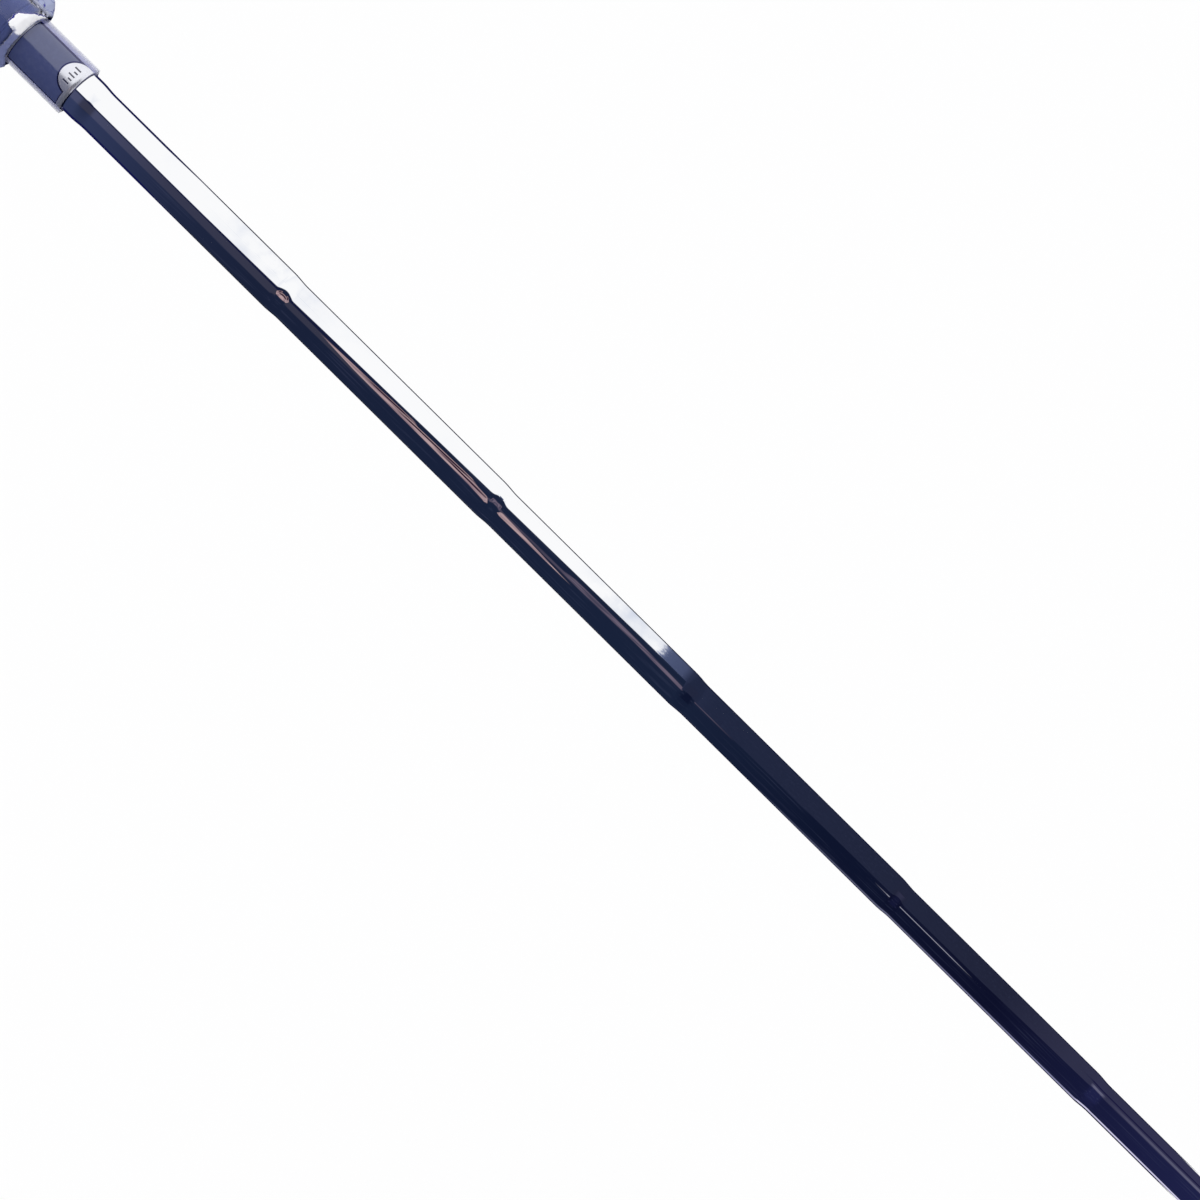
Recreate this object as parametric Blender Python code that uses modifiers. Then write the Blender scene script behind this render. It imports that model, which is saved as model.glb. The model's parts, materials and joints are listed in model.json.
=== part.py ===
# A 34 inch blade putter, held as a player holds it to putt: the sole is flat on the ground and
# the shaft leans back to the hands. Lengths are in metres, angles in degrees, +Z is up.
# The toe points to -X, the heel and the lean of the shaft to +X, and the striking face to -Y.
import math

import bmesh
import bpy
from mathutils import Matrix, Vector

# The whole club
club_length = 0.8636        # butt end to the ground along the shaft, 34 inches
lie_angle = 70.0            # shaft to ground
hold_from_butt = 0.110      # middle of the hands on the grip
fit_gap = 0.0003            # room between pieces that touch
round_steps = 28            # sides of a turned piece
small_round_steps = 20      # sides of a small turned piece

# Stepped steel shaft
tip_diameter = 0.0094
step_growth = 0.00065       # each step adds this to the diameter
step_count = 9
step_pitch = 0.0762         # 3 inches
step_run = 0.0016           # length of a step's shoulder
tip_parallel = 0.146        # plain length below the lowest step
shaft_wall = 0.00065
shaft_ground_clearance = 0.0416   # tip end to the ground along the shaft
tip_plug_length = 0.010

# Printed film band below the grip
band_length = 0.0222
band_half_width = 0.0083    # axis to the crease at each side
film_thickness = 0.0003

# Grip
grip_length = 0.2667        # butt end to the mouth, 10.5 inches
cap_height = 0.0042
nose_length = 0.0120
nose_top_radius = 0.0102
nose_mouth_radius = 0.0092
rim_length = 0.0025
rim_groove = 0.0004
skin_thickness = 0.0012
tape_thickness = 0.0003
grip_half_width_top = 0.0124
grip_half_width_waist = 0.0112
grip_front_depth = 0.0102   # axis to the flat front
grip_back_depth_top = 0.0150
grip_back_depth_waist = 0.0112
pistol_place = 0.030        # fullest point of the pistol swell below the butt
front_squareness = 5.0      # 2 is round, more is flatter
section_points = 28
grip_stations = 13

# Clear film round the grip
crease_half_width = 0.0130  # axis to the creased corner at each side of the mouth
crease_tip_half_width = 0.0094
crease_tip_reach = 0.0033   # the corners hang this far past the grip's mouth
crease_run = 0.024          # the film pulls tight on the grip above this length

# Cap and its screw plug
cap_skirt_length = 0.012
cap_edge = 0.0012
plug_head_radius = 0.0060
plug_head_height = 0.0016
plug_thread_radius = 0.0041
plug_thread_length = 0.0105
plug_slot_width = 0.0014
plug_slot_depth = 0.0009

# Head
head_length = 0.114
head_depth = 0.0275
toe_height = 0.0265
heel_height = 0.0245
top_line_depth = 0.0068
face_loft = 3.5
face_setback = 0.0047       # leading edge behind the shaft's axis
sole_flat_half = 0.046
sole_end_rise = 0.0030
bumper_height = 0.0170
bumper_length = 0.0300
flange_height = 0.0085
head_edge = 0.0008
sole_camber = 0.020         # radius where the flat sole starts to rise
sole_corner = 0.006
heel_corner = 0.008
toe_corner = 0.010
front_corner = 0.002
back_corner = 0.0075
cavity_corner = 0.0025
pad_corner = 0.0015         # corners of the pad under the neck
axis_to_head_centre = 0.009   # where the shaft's axis meets the ground

# Neck
neck_width = 0.0100
neck_post_depth = 0.0110
neck_arm_low = 0.0362
neck_arm_top = 0.0462
neck_edge = 0.0009
neck_elbow = 0.0080
knuckle_points = 6          # steps round the socket's closed end
socket_radius = 0.0069
socket_top = 0.0660         # ground to the socket's mouth along the shaft
socket_lip = 0.0008
neck_screw_radius = 0.0020
neck_screw_grip = 0.009     # thread inside the neck
neck_screw_head_radius = 0.0036
neck_screw_head_height = 0.0030
neck_screw_recess = 0.0004
screw_key_flats = 0.0030
screw_key_depth = 0.0018
ferrule_length = 0.0115
ferrule_top_radius = 0.0057
ferrule_ring = 0.0025       # straight part above the neck

# Face insert and its bonding sheet
insert_length = 0.060
insert_height = 0.0180
insert_thickness = 0.0026
insert_corner = 0.0050
insert_centre_height = 0.0131
bond_thickness = 0.0004
groove_count = 7
groove_pitch = 0.0021
groove_width = 0.0009
groove_depth = 0.0005

# Screw-in weights in the back of the bumpers, and their washers
weight_head_radius = 0.0058
weight_head_height = 0.0018
weight_thread_radius = 0.0045
weight_thread_length = 0.0090
weight_chamfer = 0.0004
weight_recess = 0.0004
washer_height = 0.0008
washer_wall = 0.0007
weight_key_flats = 0.0040   # across the flats of the hexagon socket
weight_key_depth = 0.0038

# Sight line in the flange
sight_length = 0.0135
sight_width = 0.0020
sight_depth = 0.0008
sight_from_back = 0.0030

lean = math.radians(90.0 - lie_angle)
up_shaft = Vector((math.sin(lean), 0.0, math.cos(lean)))
axis_foot = Vector((axis_to_head_centre, 0.0, 0.0))
shaft_tip = club_length - shaft_ground_clearance     # from the butt, as all that follow
shaft_butt = cap_height + fit_gap
lowest_step = shaft_tip - tip_parallel
nose_top = grip_length - nose_length
head_half = head_length / 2
head_back = face_setback + head_depth


def clear_scene():
    for item in list(bpy.data.objects):
        bpy.data.objects.remove(item, do_unlink=True)


def new_collection(name):
    collection = bpy.data.collections.new(name)
    bpy.context.scene.collection.children.link(collection)
    return collection


clear_scene()
parts = new_collection("putter")
cutters = new_collection("cutters")


def finish(name, colour, roughness, metallic, alpha=1.0):
    material = bpy.data.materials.new(name)
    material.use_nodes = True
    shader = material.node_tree.nodes["Principled BSDF"]
    shader.inputs["Base Color"].default_value = (*colour, 1.0)
    shader.inputs["Roughness"].default_value = roughness
    shader.inputs["Metallic"].default_value = metallic
    shader.inputs["Alpha"].default_value = alpha
    material.diffuse_color = (*colour, alpha)
    return material


def empty(name, location, turn=(0.0, 0.0, 0.0), parent=None):
    frame = bpy.data.objects.new(name, None)
    frame.location = location
    frame.rotation_euler = turn
    frame.parent = parent
    parts.objects.link(frame)
    return frame


# The ground frame has its origin under the head's centre. It is hung so that the hands are at
# the world's origin. The shaft frame starts at the butt end, with +Z up the shaft.
hands = axis_foot + up_shaft * (club_length - hold_from_butt)
ground = empty("ground_under_head", -hands)
shaft_line = empty("shaft_line", axis_foot + up_shaft * club_length, (0.0, lean, 0.0), ground)
face_line = empty("face_line", (0.0, face_setback, 0.0), (-math.radians(face_loft), 0.0, 0.0), ground)


def weight_line(name, side):
    # On the bumper's back face, with +Z into the head
    spot = (side * (head_half - bumper_length / 2), head_back, bumper_height / 2)
    return empty("weight_line_" + name, spot, (math.pi / 2, 0.0, 0.0), ground)


weight_lines = {"toe": weight_line("toe", -1), "heel": weight_line("heel", 1)}


def add_object(name, mesh, parent, material=None, location=(0.0, 0.0, 0.0), turn=(0.0, 0.0, 0.0)):
    # A piece has a material, and a cutter has none
    item = bpy.data.objects.new(name, mesh)
    item.location = location
    item.rotation_euler = turn
    item.parent = parent
    if material is None:
        cutters.objects.link(item)
        item.hide_render = True
        item.display_type = "WIRE"
    else:
        parts.objects.link(item)
        mesh.materials.append(material)
    return item


def shade_round(item, sharp=35.0):
    item.data.shade_smooth()
    item.data.set_sharp_from_angle(angle=math.radians(sharp))


def turned(name, profile, parent, material=None, steps=round_steps, location=(0.0, 0.0, 0.0)):
    # Profile of radius and height, down the outer side and, for a tube, up the inner side
    mesh = bpy.data.meshes.new(name)
    body = bmesh.new()
    ring = [body.verts.new((radius, 0.0, height)) for radius, height in profile]
    for first, second in zip(ring, ring[1:]):
        body.edges.new((first, second))
    if profile[0][0] > 0.0:
        body.edges.new((ring[-1], ring[0]))
    body.to_mesh(mesh)
    body.free()
    item = add_object(name, mesh, parent, material, location)
    screw = item.modifiers.new("Turn", "SCREW")
    screw.axis = "Z"
    screw.angle = math.tau
    screw.steps = steps
    screw.render_steps = steps
    screw.use_merge_vertices = True
    screw.merge_threshold = 0.00001
    screw.use_smooth_shade = True
    return item


def rounded_outline(corners, radii, arc_points=4):
    # Straight sides joined by an arc of each corner's own radius, or of the one that its sides have room for
    corners = [Vector(corner) for corner in corners]
    sides = [corners[(index + 1) % len(corners)] - corner for index, corner in enumerate(corners)]
    halves = [(-sides[index - 1]).angle(side) / 2 for index, side in enumerate(sides)]
    trims = [radius / math.tan(half) for radius, half in zip(radii, halves)]
    outline = []
    for index, corner in enumerate(corners):
        if radii[index] <= 0.0:
            outline.append(corner)
            continue
        room_before = sides[index - 1].length / (trims[index - 1] + trims[index])
        room_after = sides[index].length / (trims[index] + trims[(index + 1) % len(corners)])
        radius = radii[index] * min(1.0, room_before, room_after)
        half = halves[index]
        before, after = -sides[index - 1].normalized(), sides[index].normalized()
        centre = corner + (before + after).normalized() * radius / math.sin(half)
        start = corner + before * radius / math.tan(half)
        turn = (math.pi - 2 * half) / arc_points
        if before.cross(after) > 0.0:
            turn = -turn
        for step in range(arc_points + 1):
            outline.append(centre + Matrix.Rotation(turn * step, 2) @ (start - centre))
    return outline


def plate(name, outline, thickness, parent, material=None, location=(0.0, 0.0, 0.0), upright=False):
    # A flat outline of even thickness: lying in XY, or upright in XZ
    curve = bpy.data.curves.new(name + "_outline", "CURVE")
    curve.dimensions = "2D"
    curve.fill_mode = "BOTH"
    curve.extrude = thickness / 2
    spline = curve.splines.new("POLY")
    spline.points.add(len(outline) - 1)
    for point, place in zip(spline.points, outline):
        point.co = (place[0], place[1], 0.0, 1.0)
    spline.use_cyclic_u = True
    drawing = bpy.data.objects.new(name + "_outline", curve)
    cutters.objects.link(drawing)
    graph = bpy.context.evaluated_depsgraph_get()
    mesh = bpy.data.meshes.new_from_object(drawing.evaluated_get(graph))
    bpy.data.objects.remove(drawing, do_unlink=True)
    body = bmesh.new()
    body.from_mesh(mesh)
    bmesh.ops.remove_doubles(body, verts=body.verts, dist=0.000001)
    bmesh.ops.dissolve_limit(body, angle_limit=0.001, verts=body.verts, edges=body.edges)
    bmesh.ops.recalc_face_normals(body, faces=body.faces)
    body.to_mesh(mesh)
    body.free()
    mesh.name = name
    turn = (math.pi / 2, 0.0, 0.0) if upright else (0.0, 0.0, 0.0)
    return add_object(name, mesh, parent, material, location, turn)


def block(name, low, high, parent, material=None):
    mesh = bpy.data.meshes.new(name)
    body = bmesh.new()
    bmesh.ops.create_cube(body, size=1.0)
    low, high = Vector(low), Vector(high)
    bmesh.ops.scale(body, vec=high - low, verts=body.verts)
    bmesh.ops.translate(body, vec=(low + high) / 2, verts=body.verts)
    body.to_mesh(mesh)
    body.free()
    return add_object(name, mesh, parent, material)


def prism(name, sides, across_flats, low, high, parent, location=(0.0, 0.0, 0.0)):
    mesh = bpy.data.meshes.new(name)
    body = bmesh.new()
    radius = across_flats / 2 / math.cos(math.pi / sides)
    tall = high - low
    bmesh.ops.create_cone(body, cap_ends=True, segments=sides, radius1=radius, radius2=radius, depth=tall)
    bmesh.ops.translate(body, vec=(0.0, 0.0, (low + high) / 2), verts=body.verts)
    body.to_mesh(mesh)
    body.free()
    return add_object(name, mesh, parent, None, location)


def combine(item, other, operation="DIFFERENCE"):
    boolean = item.modifiers.new(operation.title() + " " + other.name, "BOOLEAN")
    boolean.operation = operation
    boolean.solver = "EXACT"
    boolean.object = other


def bevel(item, width, segments=2, limit=40.0):
    edge = item.modifiers.new("Edge", "BEVEL")
    edge.width = width
    edge.segments = segments
    edge.limit_method = "ANGLE"
    edge.angle_limit = math.radians(limit)
    edge.use_clamp_overlap = True


def loft(name, rings, parent, material=None, capped=False):
    # Rings of the same number of points, joined side by side
    mesh = bpy.data.meshes.new(name)
    body = bmesh.new()
    loops = [[body.verts.new(point) for point in ring] for ring in rings]
    for upper, lower in zip(loops, loops[1:]):
        for index in range(len(upper)):
            body.faces.new((upper[index - 1], lower[index - 1], lower[index], upper[index]))
    if capped:
        body.faces.new(loops[0])
        body.faces.new(reversed(loops[-1]))
    bmesh.ops.recalc_face_normals(body, faces=body.faces)
    body.to_mesh(mesh)
    body.free()
    return add_object(name, mesh, parent, material)


def thicken(item, thickness, outwards):
    wall = item.modifiers.new("Wall", "SOLIDIFY")
    wall.thickness = thickness
    wall.offset = 1.0 if outwards else -1.0
    wall.use_even_offset = True


# Shaft


def step_places():
    return [lowest_step - step_pitch * index for index in reversed(range(step_count))]


def shaft_radius(place):
    radius = tip_diameter / 2
    for step in step_places():
        share = (step + step_run / 2 - place) / step_run
        radius += step_growth / 2 * min(max(share, 0.0), 1.0)
    return radius


def shaft_outline(start, end, offset):
    # Radius and height down the shaft's surface from start to end, moved outwards by offset
    places = [start]
    for step in step_places():
        for shoulder in (step - step_run / 2, step + step_run / 2):
            if start < shoulder < end:
                places.append(shoulder)
    places.append(end)
    return [(shaft_radius(place) + offset, -place) for place in places]


def make_shaft():
    outer = shaft_outline(shaft_butt, shaft_tip, 0.0)
    inner = shaft_outline(shaft_butt, shaft_tip, -shaft_wall)
    chrome = finish("polished_chrome", (0.75, 0.76, 0.80), 0.05, 1.0)
    turned("shaft", outer + inner[::-1], shaft_line, chrome)


def make_tip_plug():
    radius = tip_diameter / 2 - shaft_wall - fit_gap
    top, low = -(shaft_tip - tip_plug_length), -shaft_tip
    profile = [(0.0, top), (radius, top), (radius, low), (0.0, low)]
    rubber = finish("plug_rubber", (0.10, 0.10, 0.10), 0.8, 0.0)
    turned("tip_plug", profile, shaft_line, rubber, small_round_steps)


def creased_radius(angle, radius, half_width):
    # A round section with a creased corner at +Y and at -Y, joined to the round by its tangents
    if half_width <= radius:
        return radius
    reach = math.acos(radius / half_width)
    from_crease = min(abs(angle - math.pi / 2), abs(angle - 3 * math.pi / 2))
    if from_crease >= reach:
        return radius
    return radius / math.cos(reach - from_crease)


def section_angles():
    return [math.tau * index / section_points for index in range(section_points)]


def make_shaft_band():
    top = grip_length + fit_gap
    radius = shaft_radius(top) + fit_gap
    half_width = band_half_width - film_thickness
    rings = []
    for place in (top, top + band_length):
        ring = []
        for angle in section_angles():
            reach = creased_radius(angle, radius, half_width)
            ring.append((reach * math.cos(angle), reach * math.sin(angle), -place))
        rings.append(ring)
    print_film = finish("printed_film", (0.05, 0.06, 0.13), 0.25, 0.0)
    band = loft("shaft_band", rings, shaft_line, print_film)
    thicken(band, film_thickness, True)


# Grip


def blend(first, second, share):
    share = min(max(share, 0.0), 1.0)
    share = share * share * (3.0 - 2.0 * share)
    return first + (second - first) * share


def grip_sizes(place):
    # Half width, front depth, back depth and squareness of the grip at this place
    swell = blend(0.86, 1.0, place / pistol_place) if place < pistol_place else 1.0
    above = (place - pistol_place) / (grip_length * 0.45 - pistol_place)
    below = (place - grip_length * 0.45) / (nose_top - grip_length * 0.45)
    half_width = blend(grip_half_width_top, grip_half_width_waist, above)
    back = blend(grip_back_depth_top * swell, grip_back_depth_waist, above)
    half_width = blend(half_width, nose_top_radius, below)
    front = blend(grip_front_depth, nose_top_radius, below)
    back = blend(back, nose_top_radius, below)
    squareness = blend(front_squareness, 2.0, (place - grip_length * 0.6) / (nose_top - grip_length * 0.6))
    return half_width, front, back, squareness


def grip_radius(angle, place, offset):
    half_width, front, back, squareness = grip_sizes(place)
    depth = back
    power = 2.0
    if math.cos(angle) < 0.0:
        depth = front
        power = squareness
    across = abs(math.sin(angle)) / (half_width + offset)
    along = abs(math.cos(angle)) / (depth + offset)
    return (across ** power + along ** power) ** (-1.0 / power)


def grip_ring(place, offset):
    ring = []
    for angle in section_angles():
        reach = grip_radius(angle, place, offset)
        ring.append((reach * math.cos(angle), reach * math.sin(angle), -place))
    return ring


def grip_places(top, low):
    return [top + (low - top) * index / (grip_stations - 1) for index in range(grip_stations)]


def make_grip_skin():
    places = grip_places(cap_height + fit_gap, nose_top - fit_gap)
    rings = [grip_ring(place, 0.0) for place in places]
    rubber = finish("grip_rubber", (0.045, 0.050, 0.075), 0.6, 0.0)
    skin = loft("grip_skin", rings, shaft_line, rubber)
    thicken(skin, skin_thickness, False)
    shade_round(skin)


def make_grip_core():
    places = grip_places(cap_height + fit_gap, nose_top - fit_gap)
    rings = [grip_ring(place, -skin_thickness - fit_gap) for place in places]
    foam = finish("core_foam", (0.20, 0.20, 0.21), 0.9, 0.0)
    core = loft("grip_core", rings, shaft_line, foam, True)
    start, end = 0.0, nose_top + fit_gap
    bore = shaft_outline(start, end, fit_gap + tape_thickness + fit_gap)
    profile = [(0.0, -start)] + bore + [(0.0, -end)]
    combine(core, turned("core_bore", profile, shaft_line))
    shade_round(core)


def make_grip_tape():
    start, end = cap_height + fit_gap, nose_top - fit_gap
    outer = shaft_outline(start, end, fit_gap + tape_thickness)
    inner = shaft_outline(start, end, fit_gap)
    paper = finish("masking_tape", (0.62, 0.52, 0.33), 0.85, 0.0)
    turned("grip_tape", outer + inner[::-1], shaft_line, paper)


def make_grip_nose():
    inner = shaft_radius(grip_length) + fit_gap
    rim_top = grip_length - rim_length
    profile = [
        (nose_top_radius, -nose_top),
        (nose_mouth_radius - rim_groove, -(rim_top - rim_groove)),
        (nose_mouth_radius - rim_groove, -rim_top),
        (nose_mouth_radius, -(rim_top + rim_groove)),
        (nose_mouth_radius, -(grip_length - rim_groove)),
        (nose_mouth_radius - rim_groove, -grip_length),
        (inner, -grip_length),
        (inner, -nose_top),
    ]
    rubber = finish("nose_rubber", (0.05, 0.06, 0.10), 0.45, 0.0)
    turned("grip_nose", profile, shaft_line, rubber)


def make_end_cap():
    bore = plug_thread_radius + fit_gap
    rim = plug_head_radius + fit_gap
    skirt = shaft_radius(shaft_butt) - shaft_wall - fit_gap
    cap_rings = [
        grip_ring(0.0, -cap_edge),
        grip_ring(cap_edge * 0.3, -cap_edge * 0.3),
        grip_ring(cap_edge, 0.0),
        grip_ring(cap_height, 0.0),
    ]
    plastic = finish("cap_plastic", (0.03, 0.03, 0.04), 0.35, 0.0)
    cap = loft("end_cap", cap_rings, shaft_line, plastic, True)
    low = cap_height + cap_skirt_length
    root = cap_height / 2
    skirt_profile = [(0.0, -root), (skirt, -root), (skirt, -low), (0.0, -low)]
    combine(cap, turned("cap_skirt", skirt_profile, shaft_line), "UNION")
    seat = plug_head_height + fit_gap
    past = low + fit_gap
    hole = [(0.0, fit_gap), (rim, fit_gap), (rim, -seat), (bore, -seat), (bore, -past), (0.0, -past)]
    combine(cap, turned("cap_hole", hole, shaft_line, None, small_round_steps))
    shade_round(cap)


def make_cap_plug():
    bottom = plug_head_height + plug_thread_length
    profile = [
        (0.0, 0.0),
        (plug_head_radius, 0.0),
        (plug_head_radius, -plug_head_height),
        (plug_thread_radius, -plug_head_height),
        (plug_thread_radius, -bottom),
        (0.0, -bottom),
    ]
    alloy = finish("plug_aluminium", (0.55, 0.56, 0.58), 0.3, 1.0)
    plug = turned("cap_plug", profile, shaft_line, alloy, small_round_steps)
    slot_half = plug_head_radius * 0.75
    low = (-plug_slot_width / 2, -slot_half, -plug_slot_depth)
    high = (plug_slot_width / 2, slot_half, fit_gap)
    combine(plug, block("coin_slot", low, high, shaft_line))


def film_ring(place, crease, tip_drop, tip_half_width):
    # crease goes from 0, tight on the grip, to 1, pinched flat at both sides
    ring = []
    for angle in section_angles():
        tight = grip_radius(angle, min(place, nose_top), fit_gap)
        if place > nose_top:
            tight = nose_top_radius + fit_gap
        pinched = creased_radius(angle, nose_top_radius + fit_gap, tip_half_width)
        reach = tight + (pinched - tight) * crease
        side = abs(math.sin(angle)) ** 6
        ring.append((reach * math.cos(angle), reach * math.sin(angle), -place - tip_drop * side))
    return ring


def make_grip_film():
    start = grip_length - crease_run
    rings = [film_ring(place, 0.0, 0.0, crease_half_width) for place in grip_places(cap_edge, start)]
    for share in (0.25, 0.5, 0.75):
        pinch = blend(0.0, 1.0, share * 1.2)
        rings.append(film_ring(start + crease_run * share, pinch, 0.0, crease_half_width))
    mouth = grip_length - film_thickness
    rings.append(film_ring(mouth, 1.0, 0.0, crease_half_width))
    rings.append(film_ring(mouth + fit_gap, 1.0, crease_tip_reach, crease_tip_half_width + fit_gap))
    clear = finish("clear_film", (0.80, 0.84, 0.92), 0.08, 0.0, 0.35)
    film = loft("grip_film", rings, shaft_line, clear)
    thicken(film, film_thickness, True)
    shade_round(film)


# Head


def make_head_body():
    steel = finish("milled_steel", (0.58, 0.58, 0.59), 0.32, 1.0)
    corners = [
        (-sole_flat_half, 0.0),
        (sole_flat_half, 0.0),
        (head_half, sole_end_rise),
        (head_half, heel_height),
        (-head_half, toe_height),
        (-head_half, sole_end_rise),
    ]
    radii = [sole_camber, sole_camber, sole_corner, heel_corner, toe_corner, sole_corner]
    outline = rounded_outline(corners, radii)
    middle = (0.0, face_setback + head_depth / 2, 0.0)
    head = plate("head_body", outline, head_depth, ground, steel, middle, True)
    over = toe_height * 2
    plan = [(-head_half, 0.0), (head_half, 0.0), (head_half, head_depth), (-head_half, head_depth)]
    plan = rounded_outline(plan, [front_corner, front_corner, back_corner, back_corner])
    combine(head, plate("plan_outline", plan, over * 2, ground, None, (0.0, face_setback, 0.0)), "INTERSECT")
    combine(head, block("face_cut", (-head_length, -head_depth, -over), (head_length, 0.0, over), face_line))
    rear = face_setback + top_line_depth
    low = (-head_length, rear, bumper_height)
    combine(head, block("bumper_cut", low, (head_length, head_back * 2, over), ground))
    inner = head_half - bumper_length
    pad = neck_spot().x - neck_width / 2 - neck_edge
    pad_back = neck_back() + neck_edge
    past = head_back * 2
    cavity = [(-inner, rear), (pad, rear), (pad, pad_back), (inner, pad_back), (inner, past), (-inner, past)]
    cavity = rounded_outline(cavity, [cavity_corner, pad_corner, pad_corner, cavity_corner, 0.0, 0.0])
    tall = over - flange_height
    combine(head, plate("cavity_cut", cavity, tall, ground, None, (0.0, 0.0, flange_height + tall / 2)))
    bevel(head, head_edge)
    pocket = insert_thickness + bond_thickness + fit_gap * 2
    combine(head, insert_solid("insert_pocket", fit_gap, -pocket, pocket))
    for name in weight_lines:
        combine(head, weight_hole(name))
    combine(head, neck_screw_hole())
    combine(head, sight_solid("sight_groove", fit_gap, sight_depth + fit_gap, sight_depth))
    shade_round(head, 30.0)


def insert_outline(grow):
    half, tall = insert_length / 2 + grow, insert_height / 2 + grow
    corners = [(-half, -tall), (half, -tall), (half, tall), (-half, tall)]
    return rounded_outline(corners, [insert_corner + grow] * 4, 5)


def insert_solid(name, grow, front, back, material=None):
    # Between two depths behind the face, where the front of the face is at 0
    low, high = sorted((-front, -back))
    location = (0.0, (low + high) / 2, insert_centre_height)
    return plate(name, insert_outline(grow), high - low, face_line, material, location, True)


def make_face_insert():
    alloy = finish("insert_aluminium", (0.30, 0.31, 0.34), 0.4, 1.0)
    insert = insert_solid("face_insert", 0.0, 0.0, -insert_thickness, alloy)
    for index in range(groove_count):
        height = insert_centre_height + (index - (groove_count - 1) / 2) * groove_pitch
        reach = insert_length / 2 - insert_corner * 0.6
        low = (-reach, -groove_depth, height - groove_width / 2)
        high = (reach, groove_depth, height + groove_width / 2)
        combine(insert, block("groove_%d" % (index + 1), low, high, face_line))


def make_insert_bond():
    start = -insert_thickness - fit_gap
    sheet = finish("bond_sheet", (0.70, 0.68, 0.62), 0.7, 0.0)
    insert_solid("insert_bond_sheet", 0.0, start, start - bond_thickness, sheet)


def weight_hole(name):
    ledge = weight_recess + weight_head_height + fit_gap + washer_height + fit_gap
    deep = weight_recess + weight_head_height + weight_thread_length + fit_gap
    wide, narrow = weight_head_radius + fit_gap, weight_thread_radius + fit_gap
    profile = [(0.0, deep), (narrow, deep), (narrow, ledge), (wide, ledge), (wide, -fit_gap), (0.0, -fit_gap)]
    return turned("weight_hole_" + name, profile, weight_lines[name])


def make_weight(name):
    metal = finish("weight_steel_" + name, (0.42, 0.43, 0.45), 0.25, 1.0)
    low, head_top = weight_recess, weight_recess + weight_head_height
    top = head_top + weight_thread_length
    profile = [
        (0.0, top),
        (weight_thread_radius - weight_chamfer, top),
        (weight_thread_radius, top - weight_chamfer),
        (weight_thread_radius, head_top),
        (weight_head_radius, head_top),
        (weight_head_radius, low + weight_chamfer),
        (weight_head_radius - weight_chamfer, low),
        (0.0, low),
    ]
    weight = turned("bumper_weight_" + name, profile, weight_lines[name], metal)
    deep = low + weight_key_depth
    combine(weight, prism("weight_key_" + name, 6, weight_key_flats, -fit_gap, deep, weight_lines[name]))


def make_weight_washer(name):
    seat = weight_recess + weight_head_height + fit_gap
    inner = weight_thread_radius + fit_gap
    outer = inner + washer_wall
    profile = [(outer, seat + washer_height), (outer, seat), (inner, seat), (inner, seat + washer_height)]
    rubber = finish("washer_rubber_" + name, (0.04, 0.04, 0.04), 0.7, 0.0)
    turned("weight_washer_" + name, profile, weight_lines[name], rubber, small_round_steps)


def sight_solid(name, grow, depth, above, material=None):
    back = head_back - sight_from_back + grow
    front = back - sight_length - grow * 2
    low = (-sight_width / 2 - grow, front, flange_height - depth)
    high = (sight_width / 2 + grow, back, flange_height + above)
    return block(name, low, high, ground, material)


def make_sight_line():
    white = finish("sight_white", (0.85, 0.85, 0.83), 0.5, 0.0)
    sight_solid("sight_line_inlay", 0.0, sight_depth, 0.0, white)


# Neck and its screw


def axis_point(from_ground):
    return axis_foot + up_shaft * from_ground


def neck_spot():
    # Where the shaft's axis crosses the middle of the neck's arm
    return axis_point((neck_arm_low + neck_arm_top) / 2 / math.cos(lean))


def neck_back():
    return face_setback + top_line_depth + fit_gap + neck_post_depth


def make_hosel_neck():
    foot = bumper_height + fit_gap
    back = neck_back()
    front = back - neck_post_depth
    # The neck's side outline is drawn with depth across, then turned to face along X
    corners = [
        (front, foot),
        (back, foot),
        (back, neck_arm_top),
        (0.0, neck_arm_top),
        (0.0, neck_arm_low),
        (front, neck_arm_low),
    ]
    outline = rounded_outline(corners, [0.0, 0.0, neck_elbow, 0.0, 0.0, neck_elbow / 2], 5)
    steel = finish("neck_steel", (0.58, 0.58, 0.59), 0.3, 1.0)
    neck = plate("hosel_neck", outline, neck_width, ground, steel, (neck_spot().x, 0.0, 0.0), True)
    neck.rotation_euler = (math.pi / 2, 0.0, math.pi / 2)
    bevel(neck, neck_edge)
    floor = -(shaft_tip + fit_gap)
    mouth = -(club_length - socket_top)
    socket = [(0.0, mouth), (socket_radius - socket_lip, mouth), (socket_radius, mouth - socket_lip)]
    for index in range(knuckle_points):
        angle = math.pi / 2 * index / knuckle_points
        socket.append((socket_radius * math.cos(angle), floor - socket_radius * math.sin(angle)))
    socket.append((0.0, floor - socket_radius))
    combine(neck, turned("socket_outside", socket, shaft_line), "UNION")
    bore = tip_diameter / 2 + fit_gap
    above = mouth + fit_gap
    bore_outline = [(0.0, above), (bore, above), (bore, floor), (0.0, floor)]
    combine(neck, turned("socket_bore", bore_outline, shaft_line))
    hole = neck_screw_radius + fit_gap
    top = foot + neck_screw_grip + fit_gap
    profile = [(0.0, top), (hole, top), (hole, foot - fit_gap), (0.0, foot - fit_gap)]
    combine(neck, turned("neck_thread", profile, ground, None, small_round_steps, neck_screw_spot()))
    shade_round(neck, 30.0)


def neck_screw_spot():
    return Vector((neck_spot().x, neck_back() - neck_post_depth / 2, 0.0))


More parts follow.
